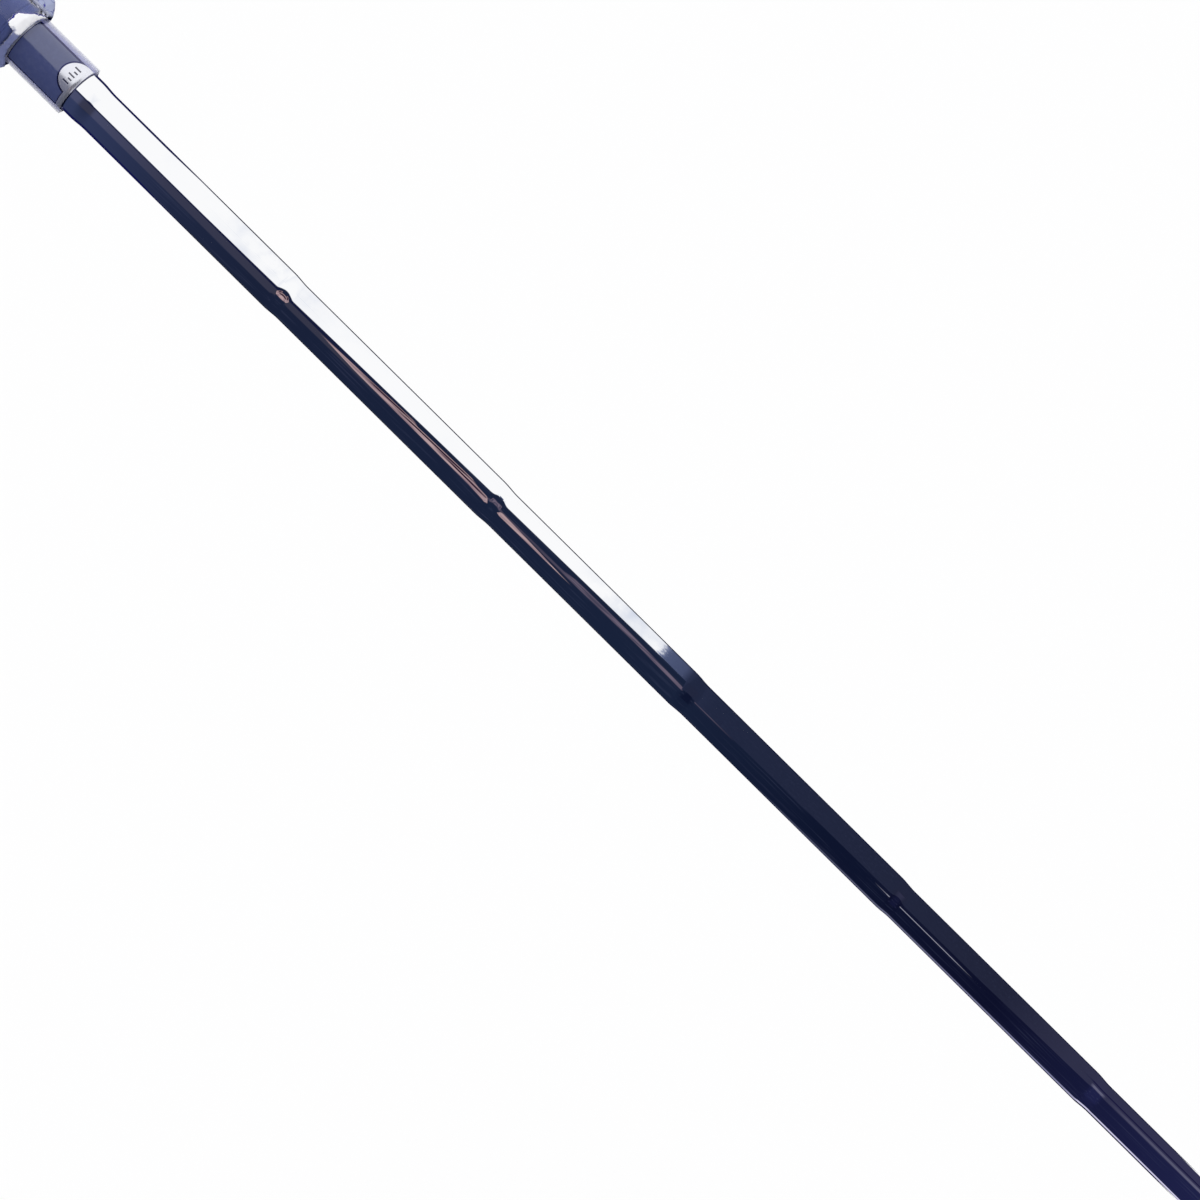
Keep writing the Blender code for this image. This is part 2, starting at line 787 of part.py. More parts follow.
def neck_screw_hole():
    seat = neck_screw_recess + neck_screw_head_height + fit_gap
    wide, narrow = neck_screw_head_radius + fit_gap, neck_screw_radius + fit_gap
    top = bumper_height + fit_gap
    profile = [(0.0, top), (narrow, top), (narrow, seat), (wide, seat), (wide, -fit_gap), (0.0, -fit_gap)]
    return turned("neck_screw_hole", profile, ground, None, small_round_steps, neck_screw_spot())


def make_neck_screw():
    low, head_top = neck_screw_recess, neck_screw_recess + neck_screw_head_height
    top = bumper_height + fit_gap + neck_screw_grip
    profile = [
        (0.0, top),
        (neck_screw_radius, top),
        (neck_screw_radius, head_top),
        (neck_screw_head_radius, head_top),
        (neck_screw_head_radius, low),
        (0.0, low),
    ]
    metal = finish("screw_steel", (0.12, 0.12, 0.13), 0.35, 1.0)
    screw = turned("neck_screw", profile, ground, metal, small_round_steps, neck_screw_spot())
    key = prism("screw_key", 6, screw_key_flats, -fit_gap, low + screw_key_depth, ground, neck_screw_spot())
    combine(screw, key)


def make_ferrule():
    low = club_length - socket_top - fit_gap
    top = low - ferrule_length
    inner = tip_diameter / 2 + fit_gap
    profile = [
        (ferrule_top_radius, -top),
        (socket_radius, -(low - ferrule_ring)),
        (socket_radius, -low),
        (inner, -low),
        (inner, -top),
    ]
    plastic = finish("ferrule_plastic", (0.02, 0.02, 0.025), 0.2, 0.0)
    turned("ferrule", profile, shaft_line, plastic)


make_shaft()
make_tip_plug()
make_shaft_band()
make_grip_skin()
make_grip_core()
make_grip_tape()
make_grip_nose()
make_end_cap()
make_cap_plug()
make_grip_film()
make_head_body()
make_face_insert()
make_insert_bond()
for end in weight_lines:
    make_weight(end)
    make_weight_washer(end)
make_sight_line()
make_hosel_neck()
make_neck_screw()
make_ferrule()
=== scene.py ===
import json
import math

import bmesh
import bpy
from mathutils import Matrix, Vector, noise


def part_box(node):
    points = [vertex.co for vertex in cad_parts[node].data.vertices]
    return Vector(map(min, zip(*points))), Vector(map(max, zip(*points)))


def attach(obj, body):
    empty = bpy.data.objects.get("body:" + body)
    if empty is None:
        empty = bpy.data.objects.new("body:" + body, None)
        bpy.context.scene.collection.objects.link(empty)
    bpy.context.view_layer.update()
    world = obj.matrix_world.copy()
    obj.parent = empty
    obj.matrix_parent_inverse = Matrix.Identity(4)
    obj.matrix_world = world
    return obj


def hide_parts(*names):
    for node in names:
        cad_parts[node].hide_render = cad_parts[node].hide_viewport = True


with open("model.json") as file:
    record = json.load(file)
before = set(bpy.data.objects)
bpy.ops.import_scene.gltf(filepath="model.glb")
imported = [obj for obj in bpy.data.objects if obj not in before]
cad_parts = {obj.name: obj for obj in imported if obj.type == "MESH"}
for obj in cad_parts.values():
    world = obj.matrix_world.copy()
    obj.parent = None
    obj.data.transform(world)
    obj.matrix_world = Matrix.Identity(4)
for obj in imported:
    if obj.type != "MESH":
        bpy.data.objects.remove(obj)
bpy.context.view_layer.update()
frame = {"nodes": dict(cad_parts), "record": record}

# The shaft's line: the putter is held so that the hands are at the origin. On this line heights
# are negative below the butt end, -X is the front and Y is across.
club = {
    "lean": 20.0,               # degrees from upright
    "handsBelowButt": 0.110,
    "fitGap": 0.0003,
    "roundSides": 96,
    "smallRoundSides": 64,
}
leanAngle = math.radians(club["lean"])
upShaft = Vector((math.sin(leanAngle), 0.0, math.cos(leanAngle)))
buttEnd = upShaft * club["handsBelowButt"]
shaftLine = Matrix.Translation(buttEnd) @ Matrix.Rotation(leanAngle, 4, "Y")
upright = Matrix.Identity(4)
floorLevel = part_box("head_body")[0].z


def fromScreen(red, green, blue):
    # A colour as a screen shows it, 0 to 255, as the linear colour that a shader takes
    return tuple(((c / 255 + 0.055) / 1.055) ** 2.4 if c > 10 else c / 3294.6 for c in (red, green, blue))


# Materials

def makeFinish(name, colour, roughness, metallic=0.0):
    material = bpy.data.materials.new(name)
    material.use_nodes = True
    shader = material.node_tree.nodes["Principled BSDF"]
    shader.inputs["Base Color"].default_value = (*colour, 1.0)
    shader.inputs["Roughness"].default_value = roughness
    shader.inputs["Metallic"].default_value = metallic
    return material


def isSocket(value):
    return isinstance(value, bpy.types.NodeSocket)


def startNode(owner, kind, sockets=None):
    # A node that has no node before it, in a material or the world
    node = owner.node_tree.nodes.new(kind)
    for socket, value in (sockets or {}).items():
        node.inputs[socket].default_value = value
    return node


def addNode(kind, sockets, **settings):
    # The node goes into the tree that its inputs come from
    tree = next(value.id_data for value in sockets.values() if isSocket(value))
    node = tree.nodes.new(kind)
    for key, value in settings.items():
        setattr(node, key, value)
    for socket, value in sockets.items():
        if isSocket(value):
            tree.links.new(value, node.inputs[socket])
        else:
            node.inputs[socket].default_value = value
    return node


def plug(value, socket):
    tree = value.id_data
    tree.links.new(value, tree.nodes["Principled BSDF"].inputs[socket])


def calc(operation, first, second=0.0, third=0.0):
    sockets = {0: first, 1: second, 2: third}
    return addNode("ShaderNodeMath", sockets, operation=operation).outputs[0]


def chain(operation):
    # The same sum over several values, one after another
    def combined(first, *others):
        for other in others:
            first = calc(operation, first, other)
        return first
    return combined


plus, minus, times, larger = (chain(kind) for kind in ("ADD", "SUBTRACT", "MULTIPLY", "MAXIMUM"))


def ramp(value, low, high, start, end):
    sockets = {"Value": value, "From Min": low, "From Max": high, "To Min": start, "To Max": end}
    return addNode("ShaderNodeMapRange", sockets).outputs[0]


def mixColour(share, first, second):
    def asInput(value):
        return value if isSocket(value) else (*value, 1.0)
    sockets = {0: share, 6: asInput(first), 7: asInput(second)}
    return addNode("ShaderNodeMix", sockets, data_type="RGBA").outputs[2]


def objectPlace(material):
    return startNode(material, "ShaderNodeTexCoord").outputs["Object"]


def shaftPlace(material):
    # Places measured along the shaft's line from the butt end
    sockets = {"Vector": objectPlace(material), "Location": buttEnd, "Rotation": (0.0, leanAngle, 0.0)}
    return addNode("ShaderNodeMapping", sockets, vector_type="TEXTURE").outputs[0]


def stretch(place, scale):
    return addNode("ShaderNodeMapping", {"Vector": place, "Scale": scale}).outputs[0]


def split(place):
    return addNode("ShaderNodeSeparateXYZ", {"Vector": place}).outputs


def cloudy(place, scale, detail=4.0, rough=0.6):
    sockets = {"Vector": place, "Scale": scale, "Detail": detail, "Roughness": rough}
    return addNode("ShaderNodeTexNoise", sockets).outputs[0]


def emboss(height, strength, distance):
    sockets = {"Strength": strength, "Distance": distance, "Height": height}
    plug(addNode("ShaderNodeBump", sockets).outputs[0], "Normal")


def roughen(grain, low, high, finest, coarsest):
    plug(ramp(grain, low, high, finest, coarsest), "Roughness")


def weather(cloud, low, high, share, colour, other):
    # The colour goes over to another one in patches
    plug(mixColour(ramp(cloud, low, high, 0.0, share), colour, other), "Base Color")


# Shaping

def asObject(name, body, place):
    # The mesh is put in its place, so that the object itself stays at the origin
    bmesh.ops.transform(body, matrix=place, verts=body.verts)
    mesh = bpy.data.meshes.new(name)
    body.to_mesh(mesh)
    body.free()
    made = bpy.data.objects.new(name, mesh)
    bpy.context.scene.collection.objects.link(made)
    return made


def newPiece(name, body, place, material, rides, replaced, smoothBelow=40.0):
    piece = asObject(name, body, place)
    piece.data.shade_smooth()
    piece.data.set_sharp_from_angle(angle=math.radians(smoothBelow))
    piece.data.materials.append(material)
    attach(piece, rides)
    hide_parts(*replaced)
    return piece


def roundCorners(profile, steps=4):
    # Corners are (radius, height) or (radius, height, fillet)
    points = []
    for index, corner in enumerate(profile):
        spot = Vector(corner[:2])
        fillet = corner[2] if len(corner) > 2 else 0.0
        if fillet <= 0.0 or index in (0, len(profile) - 1):
            points.append(spot)
            continue
        before = Vector(profile[index - 1][:2]) - spot
        after = Vector(profile[index + 1][:2]) - spot
        half = before.angle(after) / 2
        trim = min(fillet / math.tan(half), before.length * 0.49, after.length * 0.49)
        before.normalize()
        after.normalize()
        radius = trim * math.tan(half)
        centre = spot + (before + after).normalized() * radius / math.sin(half)
        turn = math.pi - 2 * half
        if before.cross(after) > 0.0:
            turn = -turn
        start = spot + before * trim - centre
        for step in range(steps + 1):
            points.append(centre + Matrix.Rotation(turn * step / steps, 2) @ start)
    return points


def spinProfile(profile, steps, closed=False):
    body = bmesh.new()
    line = [body.verts.new((radius, 0.0, height)) for radius, height in roundCorners(profile)]
    edges = [body.edges.new(pair) for pair in zip(line, line[1:])]
    if closed:
        edges.append(body.edges.new((line[-1], line[0])))
    bmesh.ops.spin(body, geom=line + edges, cent=(0, 0, 0), axis=(0, 0, 1), angle=math.tau, steps=steps,
                   use_merge=True)
    bmesh.ops.remove_doubles(body, verts=body.verts, dist=0.000002)
    bmesh.ops.dissolve_degenerate(body, edges=body.edges, dist=0.000001)
    bmesh.ops.recalc_face_normals(body, faces=body.faces)
    return body


def shapeRing(ring, height, radiusAt):
    for vert in ring:
        angle = math.atan2(vert.co.y, vert.co.x)
        reach, lift = radiusAt(angle, height)
        vert.co = (reach * math.cos(angle), reach * math.sin(angle), height + lift)


def sweepRings(stations, sides, closed=False):
    # A circle is extruded from station to station, and each ring takes its station's section
    body = bmesh.new()
    ring = bmesh.ops.create_circle(body, segments=sides, radius=0.01)["verts"]
    firstEdges = body.edges[:]
    shapeRing(ring, *stations[0])
    edges = firstEdges
    for height, radiusAt in stations[1:]:
        grown = bmesh.ops.extrude_edge_only(body, edges=edges)["geom"]
        ring = [item for item in grown if isinstance(item, bmesh.types.BMVert)]
        fresh = set(ring)
        edges = [item for item in grown if isinstance(item, bmesh.types.BMEdge)]
        edges = [edge for edge in edges if fresh.issuperset(edge.verts)]
        shapeRing(ring, height, radiusAt)
    if closed:
        bmesh.ops.bridge_loops(body, edges=firstEdges + edges)
    bmesh.ops.recalc_face_normals(body, faces=body.faces)
    return body


def between(first, second, share):
    share = min(max(share, 0.0), 1.0)
    return first + (second - first) * share * share * (3.0 - 2.0 * share)


def cutWith(piece, body, place):
    # The cut is applied, and the cutter goes
    cutter = asObject("cutter", body, place)
    knife = piece.modifiers.new("Cut", "BOOLEAN")
    knife.operation = "DIFFERENCE"
    knife.solver = "EXACT"
    knife.object = cutter
    graph = bpy.context.evaluated_depsgraph_get()
    mesh = bpy.data.meshes.new_from_object(piece.evaluated_get(graph))
    piece.modifiers.clear()
    mesh.name = piece.data.name
    piece.data = mesh
    bpy.data.objects.remove(cutter, do_unlink=True)


def blockBody(low, high):
    body = bmesh.new()
    bmesh.ops.create_cube(body, size=1.0)
    low, high = Vector(low), Vector(high)
    bmesh.ops.scale(body, vec=high - low, verts=body.verts)
    bmesh.ops.translate(body, vec=(low + high) / 2, verts=body.verts)
    return body


def hexBody(acrossFlats, low, high):
    body = bmesh.new()
    radius = acrossFlats / 2 / math.cos(math.pi / 6)
    bmesh.ops.create_cone(body, cap_ends=True, segments=6, radius1=radius, radius2=radius, depth=high - low)
    bmesh.ops.translate(body, vec=(0.0, 0.0, (low + high) / 2), verts=body.verts)
    return body


def dressNode(node, material, smoothBelow=35.0):
    # A merged copy of a CAD piece, so that its rounded edges shade smoothly
    body = bmesh.new()
    body.from_mesh(frame["nodes"][node].data)
    bmesh.ops.remove_doubles(body, verts=body.verts, dist=0.000002)
    bmesh.ops.dissolve_limit(body, angle_limit=math.radians(0.3), verts=body.verts, edges=body.edges)
    rides = next(name for name, nodes in frame["record"]["behaviour"]["bodies"].items() if node in nodes)
    piece = newPiece(node + "_surface", body, upright, material, rides, (node,), smoothBelow)
    weighted = piece.modifiers.new("EvenShading", "WEIGHTED_NORMAL")
    weighted.keep_sharp = True
    return piece


# Stepped chrome shaft

shaftLook = {
    "tipDiameter": 0.0094,
    "stepGrowth": 0.00065,
    "stepCount": 9,
    "stepPitch": 0.0762,
    "lowestStep": 0.6760,        # from the butt end
    # As rolled, from the tip up, the steps lie this far from their even places
    "stepDrift": (0.0010, 0.0019, -0.0009, 0.0016, -0.0028, -0.0003, 0.0, 0.0, 0.0),
    "shoulder": 0.0052,          # length over which a step draws in
    "shoulderPoints": 11,
    "shoulderMargin": 0.0006,    # a ring this far past a shoulder keeps the straight part straight
    "top": 0.0045,
    "tip": 0.8220,
    "wall": 0.00065,
    "sides": 128,
    "chrome": (0.95, 0.955, 0.97),
    "tarnish": (0.82, 0.85, 0.92),
}


def stepMiddle(index):
    return shaftLook["lowestStep"] - shaftLook["stepPitch"] * index + shaftLook["stepDrift"][index]


def shaftRadius(place):
    radius = shaftLook["tipDiameter"] / 2
    for index in range(shaftLook["stepCount"]):
        share = (stepMiddle(index) + shaftLook["shoulder"] / 2 - place) / shaftLook["shoulder"]
        radius += between(0.0, shaftLook["stepGrowth"] / 2, share)
    return radius


def mirrorChrome():
    material = makeFinish("mirror_chrome", shaftLook["chrome"], 0.04, 1.0)
    place = shaftPlace(material)
    smudges = cloudy(stretch(place, (1.0, 1.0, 0.35)), 90.0, 5.0)
    roughen(smudges, 0.45, 0.75, 0.015, 0.075)
    # Faint lengthwise lines left by drawing the tube
    drawn = cloudy(stretch(place, (1.0, 1.0, 0.004)), 900.0, 2.0)
    emboss(drawn, 0.04, 0.0002)
    stains = cloudy(place, 45.0, 6.0)
    weather(stains, 0.55, 0.75, 0.3, shaftLook["chrome"], shaftLook["tarnish"])
    return material


def makeShaft():
    look = shaftLook
    places = [look["top"]]
    for index in reversed(range(look["stepCount"])):
        start = stepMiddle(index) - look["shoulder"] / 2
        last = look["shoulderPoints"] - 1
        places.append(start - look["shoulderMargin"])
        places += [start + look["shoulder"] * step / last for step in range(look["shoulderPoints"])]
        places.append(start + look["shoulder"] + look["shoulderMargin"])
    places.append(look["tip"])
    outer = [(shaftRadius(place), -place) for place in places]
    inner = [(radius - look["wall"], height) for radius, height in outer[::5] + outer[-1:]]
    body = spinProfile(outer + inner[::-1], look["sides"], closed=True)
    newPiece("chrome_shaft", body, shaftLine, mirrorChrome(), "putter", ("shaft",))


# Printed film band below the grip: a creased sleeve of clear film with a dark panel

bandLook = {
    "top": 0.2670,
    "length": 0.0222,
    "halfWidth": 0.0083,
    "film": 0.0003,
    "margin": 0.0019,            # bare silver at both ends
    "panelEdges": (-0.0065, 0.00694),   # the print stops at the shaft's own width
    "tabMiddle": -0.0018,
    "tabRadius": (0.0047, 0.0046),
    "stations": 15,
    "waviness": 0.00010,
    "printEdge": 0.00008,        # softness of the print's edges
    "outline": 0.00022,          # dark foil line round the print; at the right it is widened by painted shade along the band's edge
    "outlineAndShadeRight": 0.000572,
    "footLine": (0.00030, 0.00015),     # from the sleeve's foot
    "dark": fromScreen(62, 70, 112),
    "scuffed": fromScreen(78, 86, 128),
    "rim": fromScreen(26, 28, 92),
    "silver": (0.84, 0.85, 0.92),
    "foilShare": 0.85,
    "foilRoughness": 0.36,
    "wing": (fromScreen(140, 142, 196), fromScreen(222, 224, 244)),     # from the print out to the crease
    "wingCover": (0.75, 0.12),
    "wingStart": 0.0004,
    "tick": fromScreen(24, 26, 58),
    "tickCount": 5,
    "tickPitch": 0.00115,
    "tickWidth": 0.00044,
    "tickFoot": 0.0004,          # from the tab's flat side
    "tickLength": 0.0021,
    "shortTick": 0.6,
}


def creasedRadius(angle, radius, halfWidth):
    # A round section with a creased corner at both sides, joined to the round by its tangents
    if halfWidth <= radius:
        return radius
    reach = math.acos(radius / halfWidth)
    fromCrease = abs(abs(angle) - math.pi / 2)
    if fromCrease >= reach:
        return radius
    return radius / math.cos(reach - fromCrease)


def inside(value, low, high, soft):
    # 1 between two values, which may be sockets, and 0 outside, with a soft edge
    rising = ramp(minus(value, low), -soft, soft, 0.0, 1.0)
    falling = ramp(minus(high, value), -soft, soft, 0.0, 1.0)
    return times(rising, falling)


def rulerTicks(across, below, foot):
    # A short row of ticks, every other one shorter, standing on one line
    look = bandLook
    ticks = 0.0
    for index in range(look["tickCount"]):
        middle = (index - (look["tickCount"] - 1) / 2) * look["tickPitch"] + look["tabMiddle"]
        length = look["tickLength"] * (1.0 if index % 2 == 0 else look["shortTick"])
        low, high = middle - look["tickWidth"] / 2, middle + look["tickWidth"] / 2
        bar = inside(across, low, high, look["printEdge"] / 2)
        rise = inside(below, foot - length, foot, look["printEdge"] / 2)
        ticks = larger(times(bar, rise), ticks)
    return ticks


def printedSleeve():
    look = bandLook
    material = makeFinish("printed_sleeve", look["dark"], 0.16)
    shader = material.node_tree.nodes["Principled BSDF"]
    shader.inputs["Specular IOR Level"].default_value = 0.9
    shader.inputs["Coat Weight"].default_value = 0.6
    shader.inputs["Coat Roughness"].default_value = 0.06
    x, y, z = split(shaftPlace(material))[:3]
    below = times(z, -1.0)
    end = look["top"] + look["length"]
    low, high = look["top"] + look["margin"], end - look["margin"]
    sharp, line = look["printEdge"], look["outline"]
    right, left = look["panelEdges"]
    onShaft = inside(y, right, left, sharp)
    panel = times(inside(below, low, high, sharp), onShaft)
    # Half round silver tab at the foot of the panel, with ruler ticks
    across = calc("DIVIDE", minus(y, look["tabMiddle"]), look["tabRadius"][0])
    upwards = calc("DIVIDE", minus(below, high), look["tabRadius"][1])
    distance = plus(times(across, across), times(upwards, upwards))
    front = ramp(x, -0.0002, 0.0002, 1.0, 0.0)
    tab = times(ramp(distance, 0.96, 1.04, 1.0, 0.0), front)
    dark = larger(minus(panel, tab), 0.0)
    ticks = times(rulerTicks(y, below, high - look["tickFoot"]), tab)
    inked = larger(dark, ticks)
    # What is left of the print within its outline
    # At the right the outline is widened into painted shade along the band's edge
    core = times(inside(below, low + line, high - line, sharp),
                 inside(y, right + look["outlineAndShadeRight"], left - line, sharp),
                 ramp(distance, 1.14, 1.22, 0.0, 1.0))
    scuffs = cloudy(shaftPlace(material), 700.0, 5.0)
    worn = ramp(scuffs, 0.45, 0.8, 0.0, 0.4)
    darkInk = mixColour(worn, look["dark"], look["scuffed"])
    darkInk = mixColour(core, look["rim"], darkInk)
    colour = mixColour(dark, look["silver"], darkInk)
    colour = mixColour(ticks, colour, look["tick"])
    # The silver and the line round the print are foil, the print itself is ink
    bare = minus(1.0, inked)
    foil = times(bare, onShaft, look["foilShare"])
    outline = times(dark, minus(1.0, core))
    foot = ramp(below, end - look["footLine"][0], end - look["footLine"][1], 0.0, 1.0)
    outline = larger(outline, times(foot, onShaft))
    plug(larger(foil, outline), "Metallic")
    # Beyond the print the bare film fades from a tinted edge to nearly clear at the crease
    side = calc("ABSOLUTE", y)
    outwards = ramp(side, left - look["wingStart"], look["halfWidth"], 0.0, 1.0)
    wing = mixColour(outwards, *look["wing"])
    colour = mixColour(outline, colour, look["rim"])
    plug(mixColour(onShaft, wing, colour), "Base Color")
    cover = ramp(outwards, 0.0, 1.0, *look["wingCover"])
    plug(larger(onShaft, cover), "Alpha")
    satin = times(foil, look["foilRoughness"])
    plug(larger(ramp(scuffs, 0.4, 0.8, 0.12, 0.3), satin), "Roughness")
    emboss(times(scuffs, inked), 0.10, 0.0002)
    return material


def makeBand():
    look = bandLook
    radius = shaftRadius(look["top"]) + club["fitGap"]
    half = look["halfWidth"] - look["film"]

    def section(angle, height):
        wave = noise.noise(Vector((math.cos(angle) * 2.0, math.sin(angle) * 2.0, height * 260.0)))
        return creasedRadius(angle, radius, half) + abs(wave) * look["waviness"], 0.0

    last = look["stations"] - 1
    stations = [(-look["top"] - look["length"] * step / last, section) for step in range(look["stations"])]
    body = sweepRings(stations, club["roundSides"])
    sleeve = printedSleeve()
    piece = newPiece("film_band", body, shaftLine, sleeve, "putter", ("shaft_band",), 50.0)
    wall = piece.modifiers.new("Film", "SOLIDIFY")
    wall.thickness = look["film"] * 0.6
    wall.offset = 1.0


# Grip: skin, nose, cap with its plug, tape and core

gripLook = {
    "length": 0.2667,
    "noseLength": 0.0120,
    "capHeight": 0.0042,
    "noseTopRadius": 0.0102,
    "noseMouthRadius": 0.0092,
    "rimLength": 0.0025,
    "rimGroove": 0.0004,
    "halfWidthTop": 0.0124,
    "halfWidthWaist": 0.0112,
    "frontDepth": 0.0102,
    "backDepthTop": 0.0150,
    "backDepthWaist": 0.0112,
    "pistolPlace": 0.030,
    "pistolStart": 0.86,         # share of the pistol's depth right below the cap
    "waistPlace": 0.45,          # share of the grip's length
    "roundFrom": 0.6,            # from here the front goes over to a round section
    "squareness": 5.0,
    "skin": 0.0012,
    "stations": 150,
    "capEdge": 0.0012,
    "capTop": 0.0001,            # below the butt end
    "capSkirt": 0.012,
    "grooveDepth": 0.00035,
    "grooveWidth": 0.0012,
    "grooveTop": 0.012,
    "grooveShare": 0.78,         # of the grip's length, down to which the groove runs
    "panelHalf": 0.0078,         # half width of the smooth thumb panel on the front, at its top
    "panelHalfLow": 0.0045,
    "panelNarrows": 0.66,        # share of the length over which the panel draws in
    "ribsRound": 22.0,           # half the crossed ribs round the grip
    "ribPitch": 0.0034,
    "sides": 144,
    "rubber": fromScreen(48, 52, 72),
    "noseRubber": fromScreen(76, 87, 140),
}
noseTop = gripLook["length"] - gripLook["noseLength"]


def gripRadius(angle, place, offset=0.0):
    look = gripLook
    middle = look["length"] * look["waistPlace"]
    swell = between(look["pistolStart"], 1.0, place / look["pistolPlace"])
    above = (place - look["pistolPlace"]) / (middle - look["pistolPlace"])
    below = (place - middle) / (noseTop - middle)
    half = between(look["halfWidthTop"], look["halfWidthWaist"], above)
    half = between(half, look["noseTopRadius"], below)
    if math.cos(angle) < 0.0:
        depth = between(look["frontDepth"], look["noseTopRadius"], below)
        start = look["length"] * look["roundFrom"]
        power = between(look["squareness"], 2.0, (place - start) / (noseTop - start))
    else:
        depth = between(look["backDepthTop"] * swell, look["backDepthWaist"], above)
        depth = between(depth, look["noseTopRadius"], below)
        power = 2.0
    across = abs(math.sin(angle)) / (half + offset)
    along = abs(math.cos(angle)) / (depth + offset)
    return (across ** power + along ** power) ** (-1.0 / power)


def rubberFinish(name, colour, pitch, strength):
    material = makeFinish(name, colour, 0.55)
    shader = material.node_tree.nodes["Principled BSDF"]
    shader.inputs["Specular IOR Level"].default_value = 0.2
    place = shaftPlace(material)
    grain = cloudy(place, pitch, 6.0, 0.7)
    roughen(grain, 0.3, 0.7, 0.42, 0.68)
    dusty = tuple(channel * 1.7 + 0.01 for channel in colour)
    weather(cloudy(place, 60.0, 6.0), 0.45, 0.75, 0.7, colour, dusty)
    emboss(grain, strength, 0.0003)
    return material


def gripRubber():
    # Small crossed ribs all round, with a plain band down the front for the thumbs
    look = gripLook
    material = rubberFinish("grip_slate_rubber", look["rubber"], 900.0, 0.3)
    place = shaftPlace(material)
    x, y, z = split(place)[:3]
    turn = times(calc("ARCTAN2", y, x), look["ribsRound"])
    rise = times(z, math.tau / look["ribPitch"])
    ribs = times(calc("SINE", plus(turn, rise)), calc("SINE", minus(turn, rise)))
    panel = inside(y, -look["panelHalf"], look["panelHalf"], 0.0003)
    plain = times(panel, ramp(x, -0.006, -0.005, 1.0, 0.0))
    ribs = times(ribs, minus(1.0, plain))
    grain = cloudy(place, 1600.0, 5.0)
    emboss(calc("MULTIPLY_ADD", ribs, 0.6, times(grain, 0.3)), 0.6, 0.0005)
    return material


def makeGripSkin():
    look = gripLook
    top, low = look["capHeight"] + club["fitGap"], noseTop - club["fitGap"]

    def outside(angle, height):
        place = -height
        reach = gripRadius(angle, place)
        side = abs(reach * math.sin(angle))
        # A groove frames the thumb panel on the front
        start, end = look["grooveTop"], look["length"] * look["grooveShare"]
        if math.cos(angle) < 0.0 and start < place < end:
            along = (place - start) / (look["length"] * look["panelNarrows"])
            middle = between(look["panelHalf"], look["panelHalfLow"], along)
            off = abs(side - middle) / (look["grooveWidth"] / 2)
            if off < 1.0:
                reach -= look["grooveDepth"] * (1.0 - off * off)
        return reach, 0.0

    def within(angle, height):
        return gripRadius(angle, -height, -look["skin"]), 0.0

    last = look["stations"] - 1
    heights = [-(top + (low - top) * step / last) for step in range(look["stations"])]
    stations = [(height, outside) for height in heights]
    stations += [(height, within) for height in heights[::-6]]
    body = sweepRings(stations, look["sides"], closed=True)
    newPiece("grip_cover", body, shaftLine, gripRubber(), "putter", ("grip_skin",), 60.0)


def makeGripNose():
    look = gripLook
    bore = shaftRadius(look["length"]) + club["fitGap"]
    mouth, rimTop = look["length"], look["length"] - look["rimLength"]
    groove = look["rimGroove"]
    outer = look["noseMouthRadius"]
    profile = [
        (bore, -noseTop),
        (look["noseTopRadius"], -noseTop, 0.0004),
        (outer - groove * 0.2, -(rimTop - groove * 2), 0.0003),
        (outer - groove, -(rimTop - groove), 0.0002),
        (outer - groove, -rimTop, 0.0002),
        (outer, -(rimTop + groove), 0.0003),
        (outer, -mouth, 0.0007),
        (bore, -mouth, 0.0003),
        (bore, -noseTop - 0.001),
    ]
    material = rubberFinish("nose_rubber_finish", look["noseRubber"], 500.0, 0.25)
    body = spinProfile(profile, club["roundSides"], closed=True)
    newPiece("grip_mouth", body, shaftLine, material, "putter", ("grip_nose",))


def makeEndCap():
    look = gripLook
    plugRim, bore = plugLook["headRadius"] + club["fitGap"], plugLook["threadRadius"] + club["fitGap"]
    seat = plugLook["headHeight"] + club["fitGap"]
    skirt = shaftRadius(shaftLook["top"]) - shaftLook["wall"] - club["fitGap"]
    low = look["capHeight"] + look["capSkirt"]
    edge, top = look["capEdge"], look["capTop"]

    def ringOf(radius):
        return lambda angle, height: (radius, 0.0)

    def shell(offset):
        return lambda angle, height: (gripRadius(angle, -height, offset), 0.0)

    stations = [(-low, ringOf(bore)), (-seat, ringOf(bore)), (-seat, ringOf(plugRim)),
                (-top - 0.0003, ringOf(plugRim)), (-top, ringOf(plugRim + 0.0003))]
    for step in range(7):
        angle = math.pi / 2 * step / 6
        inset = edge * (1.0 - math.sin(angle))
        stations.append((-top - edge * (1.0 - math.cos(angle)), shell(-inset)))
    stations += [(-look["capHeight"] + 0.0003, shell(0.0)), (-look["capHeight"], shell(-0.0003)),
                 (-look["capHeight"], ringOf(skirt)), (-low, ringOf(skirt))]
    body = sweepRings(stations, look["sides"], closed=True)
    material = rubberFinish("cap_satin_plastic", fromScreen(46, 47, 56), 1400.0, 0.08)
    newPiece("grip_cap", body, shaftLine, material, "putter", ("end_cap",))


plugLook = {
    "headRadius": 0.0060,
    "headHeight": 0.0016,
    "threadRadius": 0.0041,
    "threadLength": 0.0105,
    "threadPitch": 0.00080,
    "threadDepth": 0.00035,
    "slot": (0.0014, 0.0009),
    "alloy": (0.62, 0.63, 0.66),
}


def threaded(radius, depth, pitch, start, end):
    # Crests and roots of a fine thread, down from start to end
    points = []
    count = int(abs(end - start) / pitch)
    step = (end - start) / count
    for index in range(count):
        points.append((radius - depth, start + step * index))
        points.append((radius, start + step * (index + 0.5)))
    points.append((radius - depth, end))
    return points


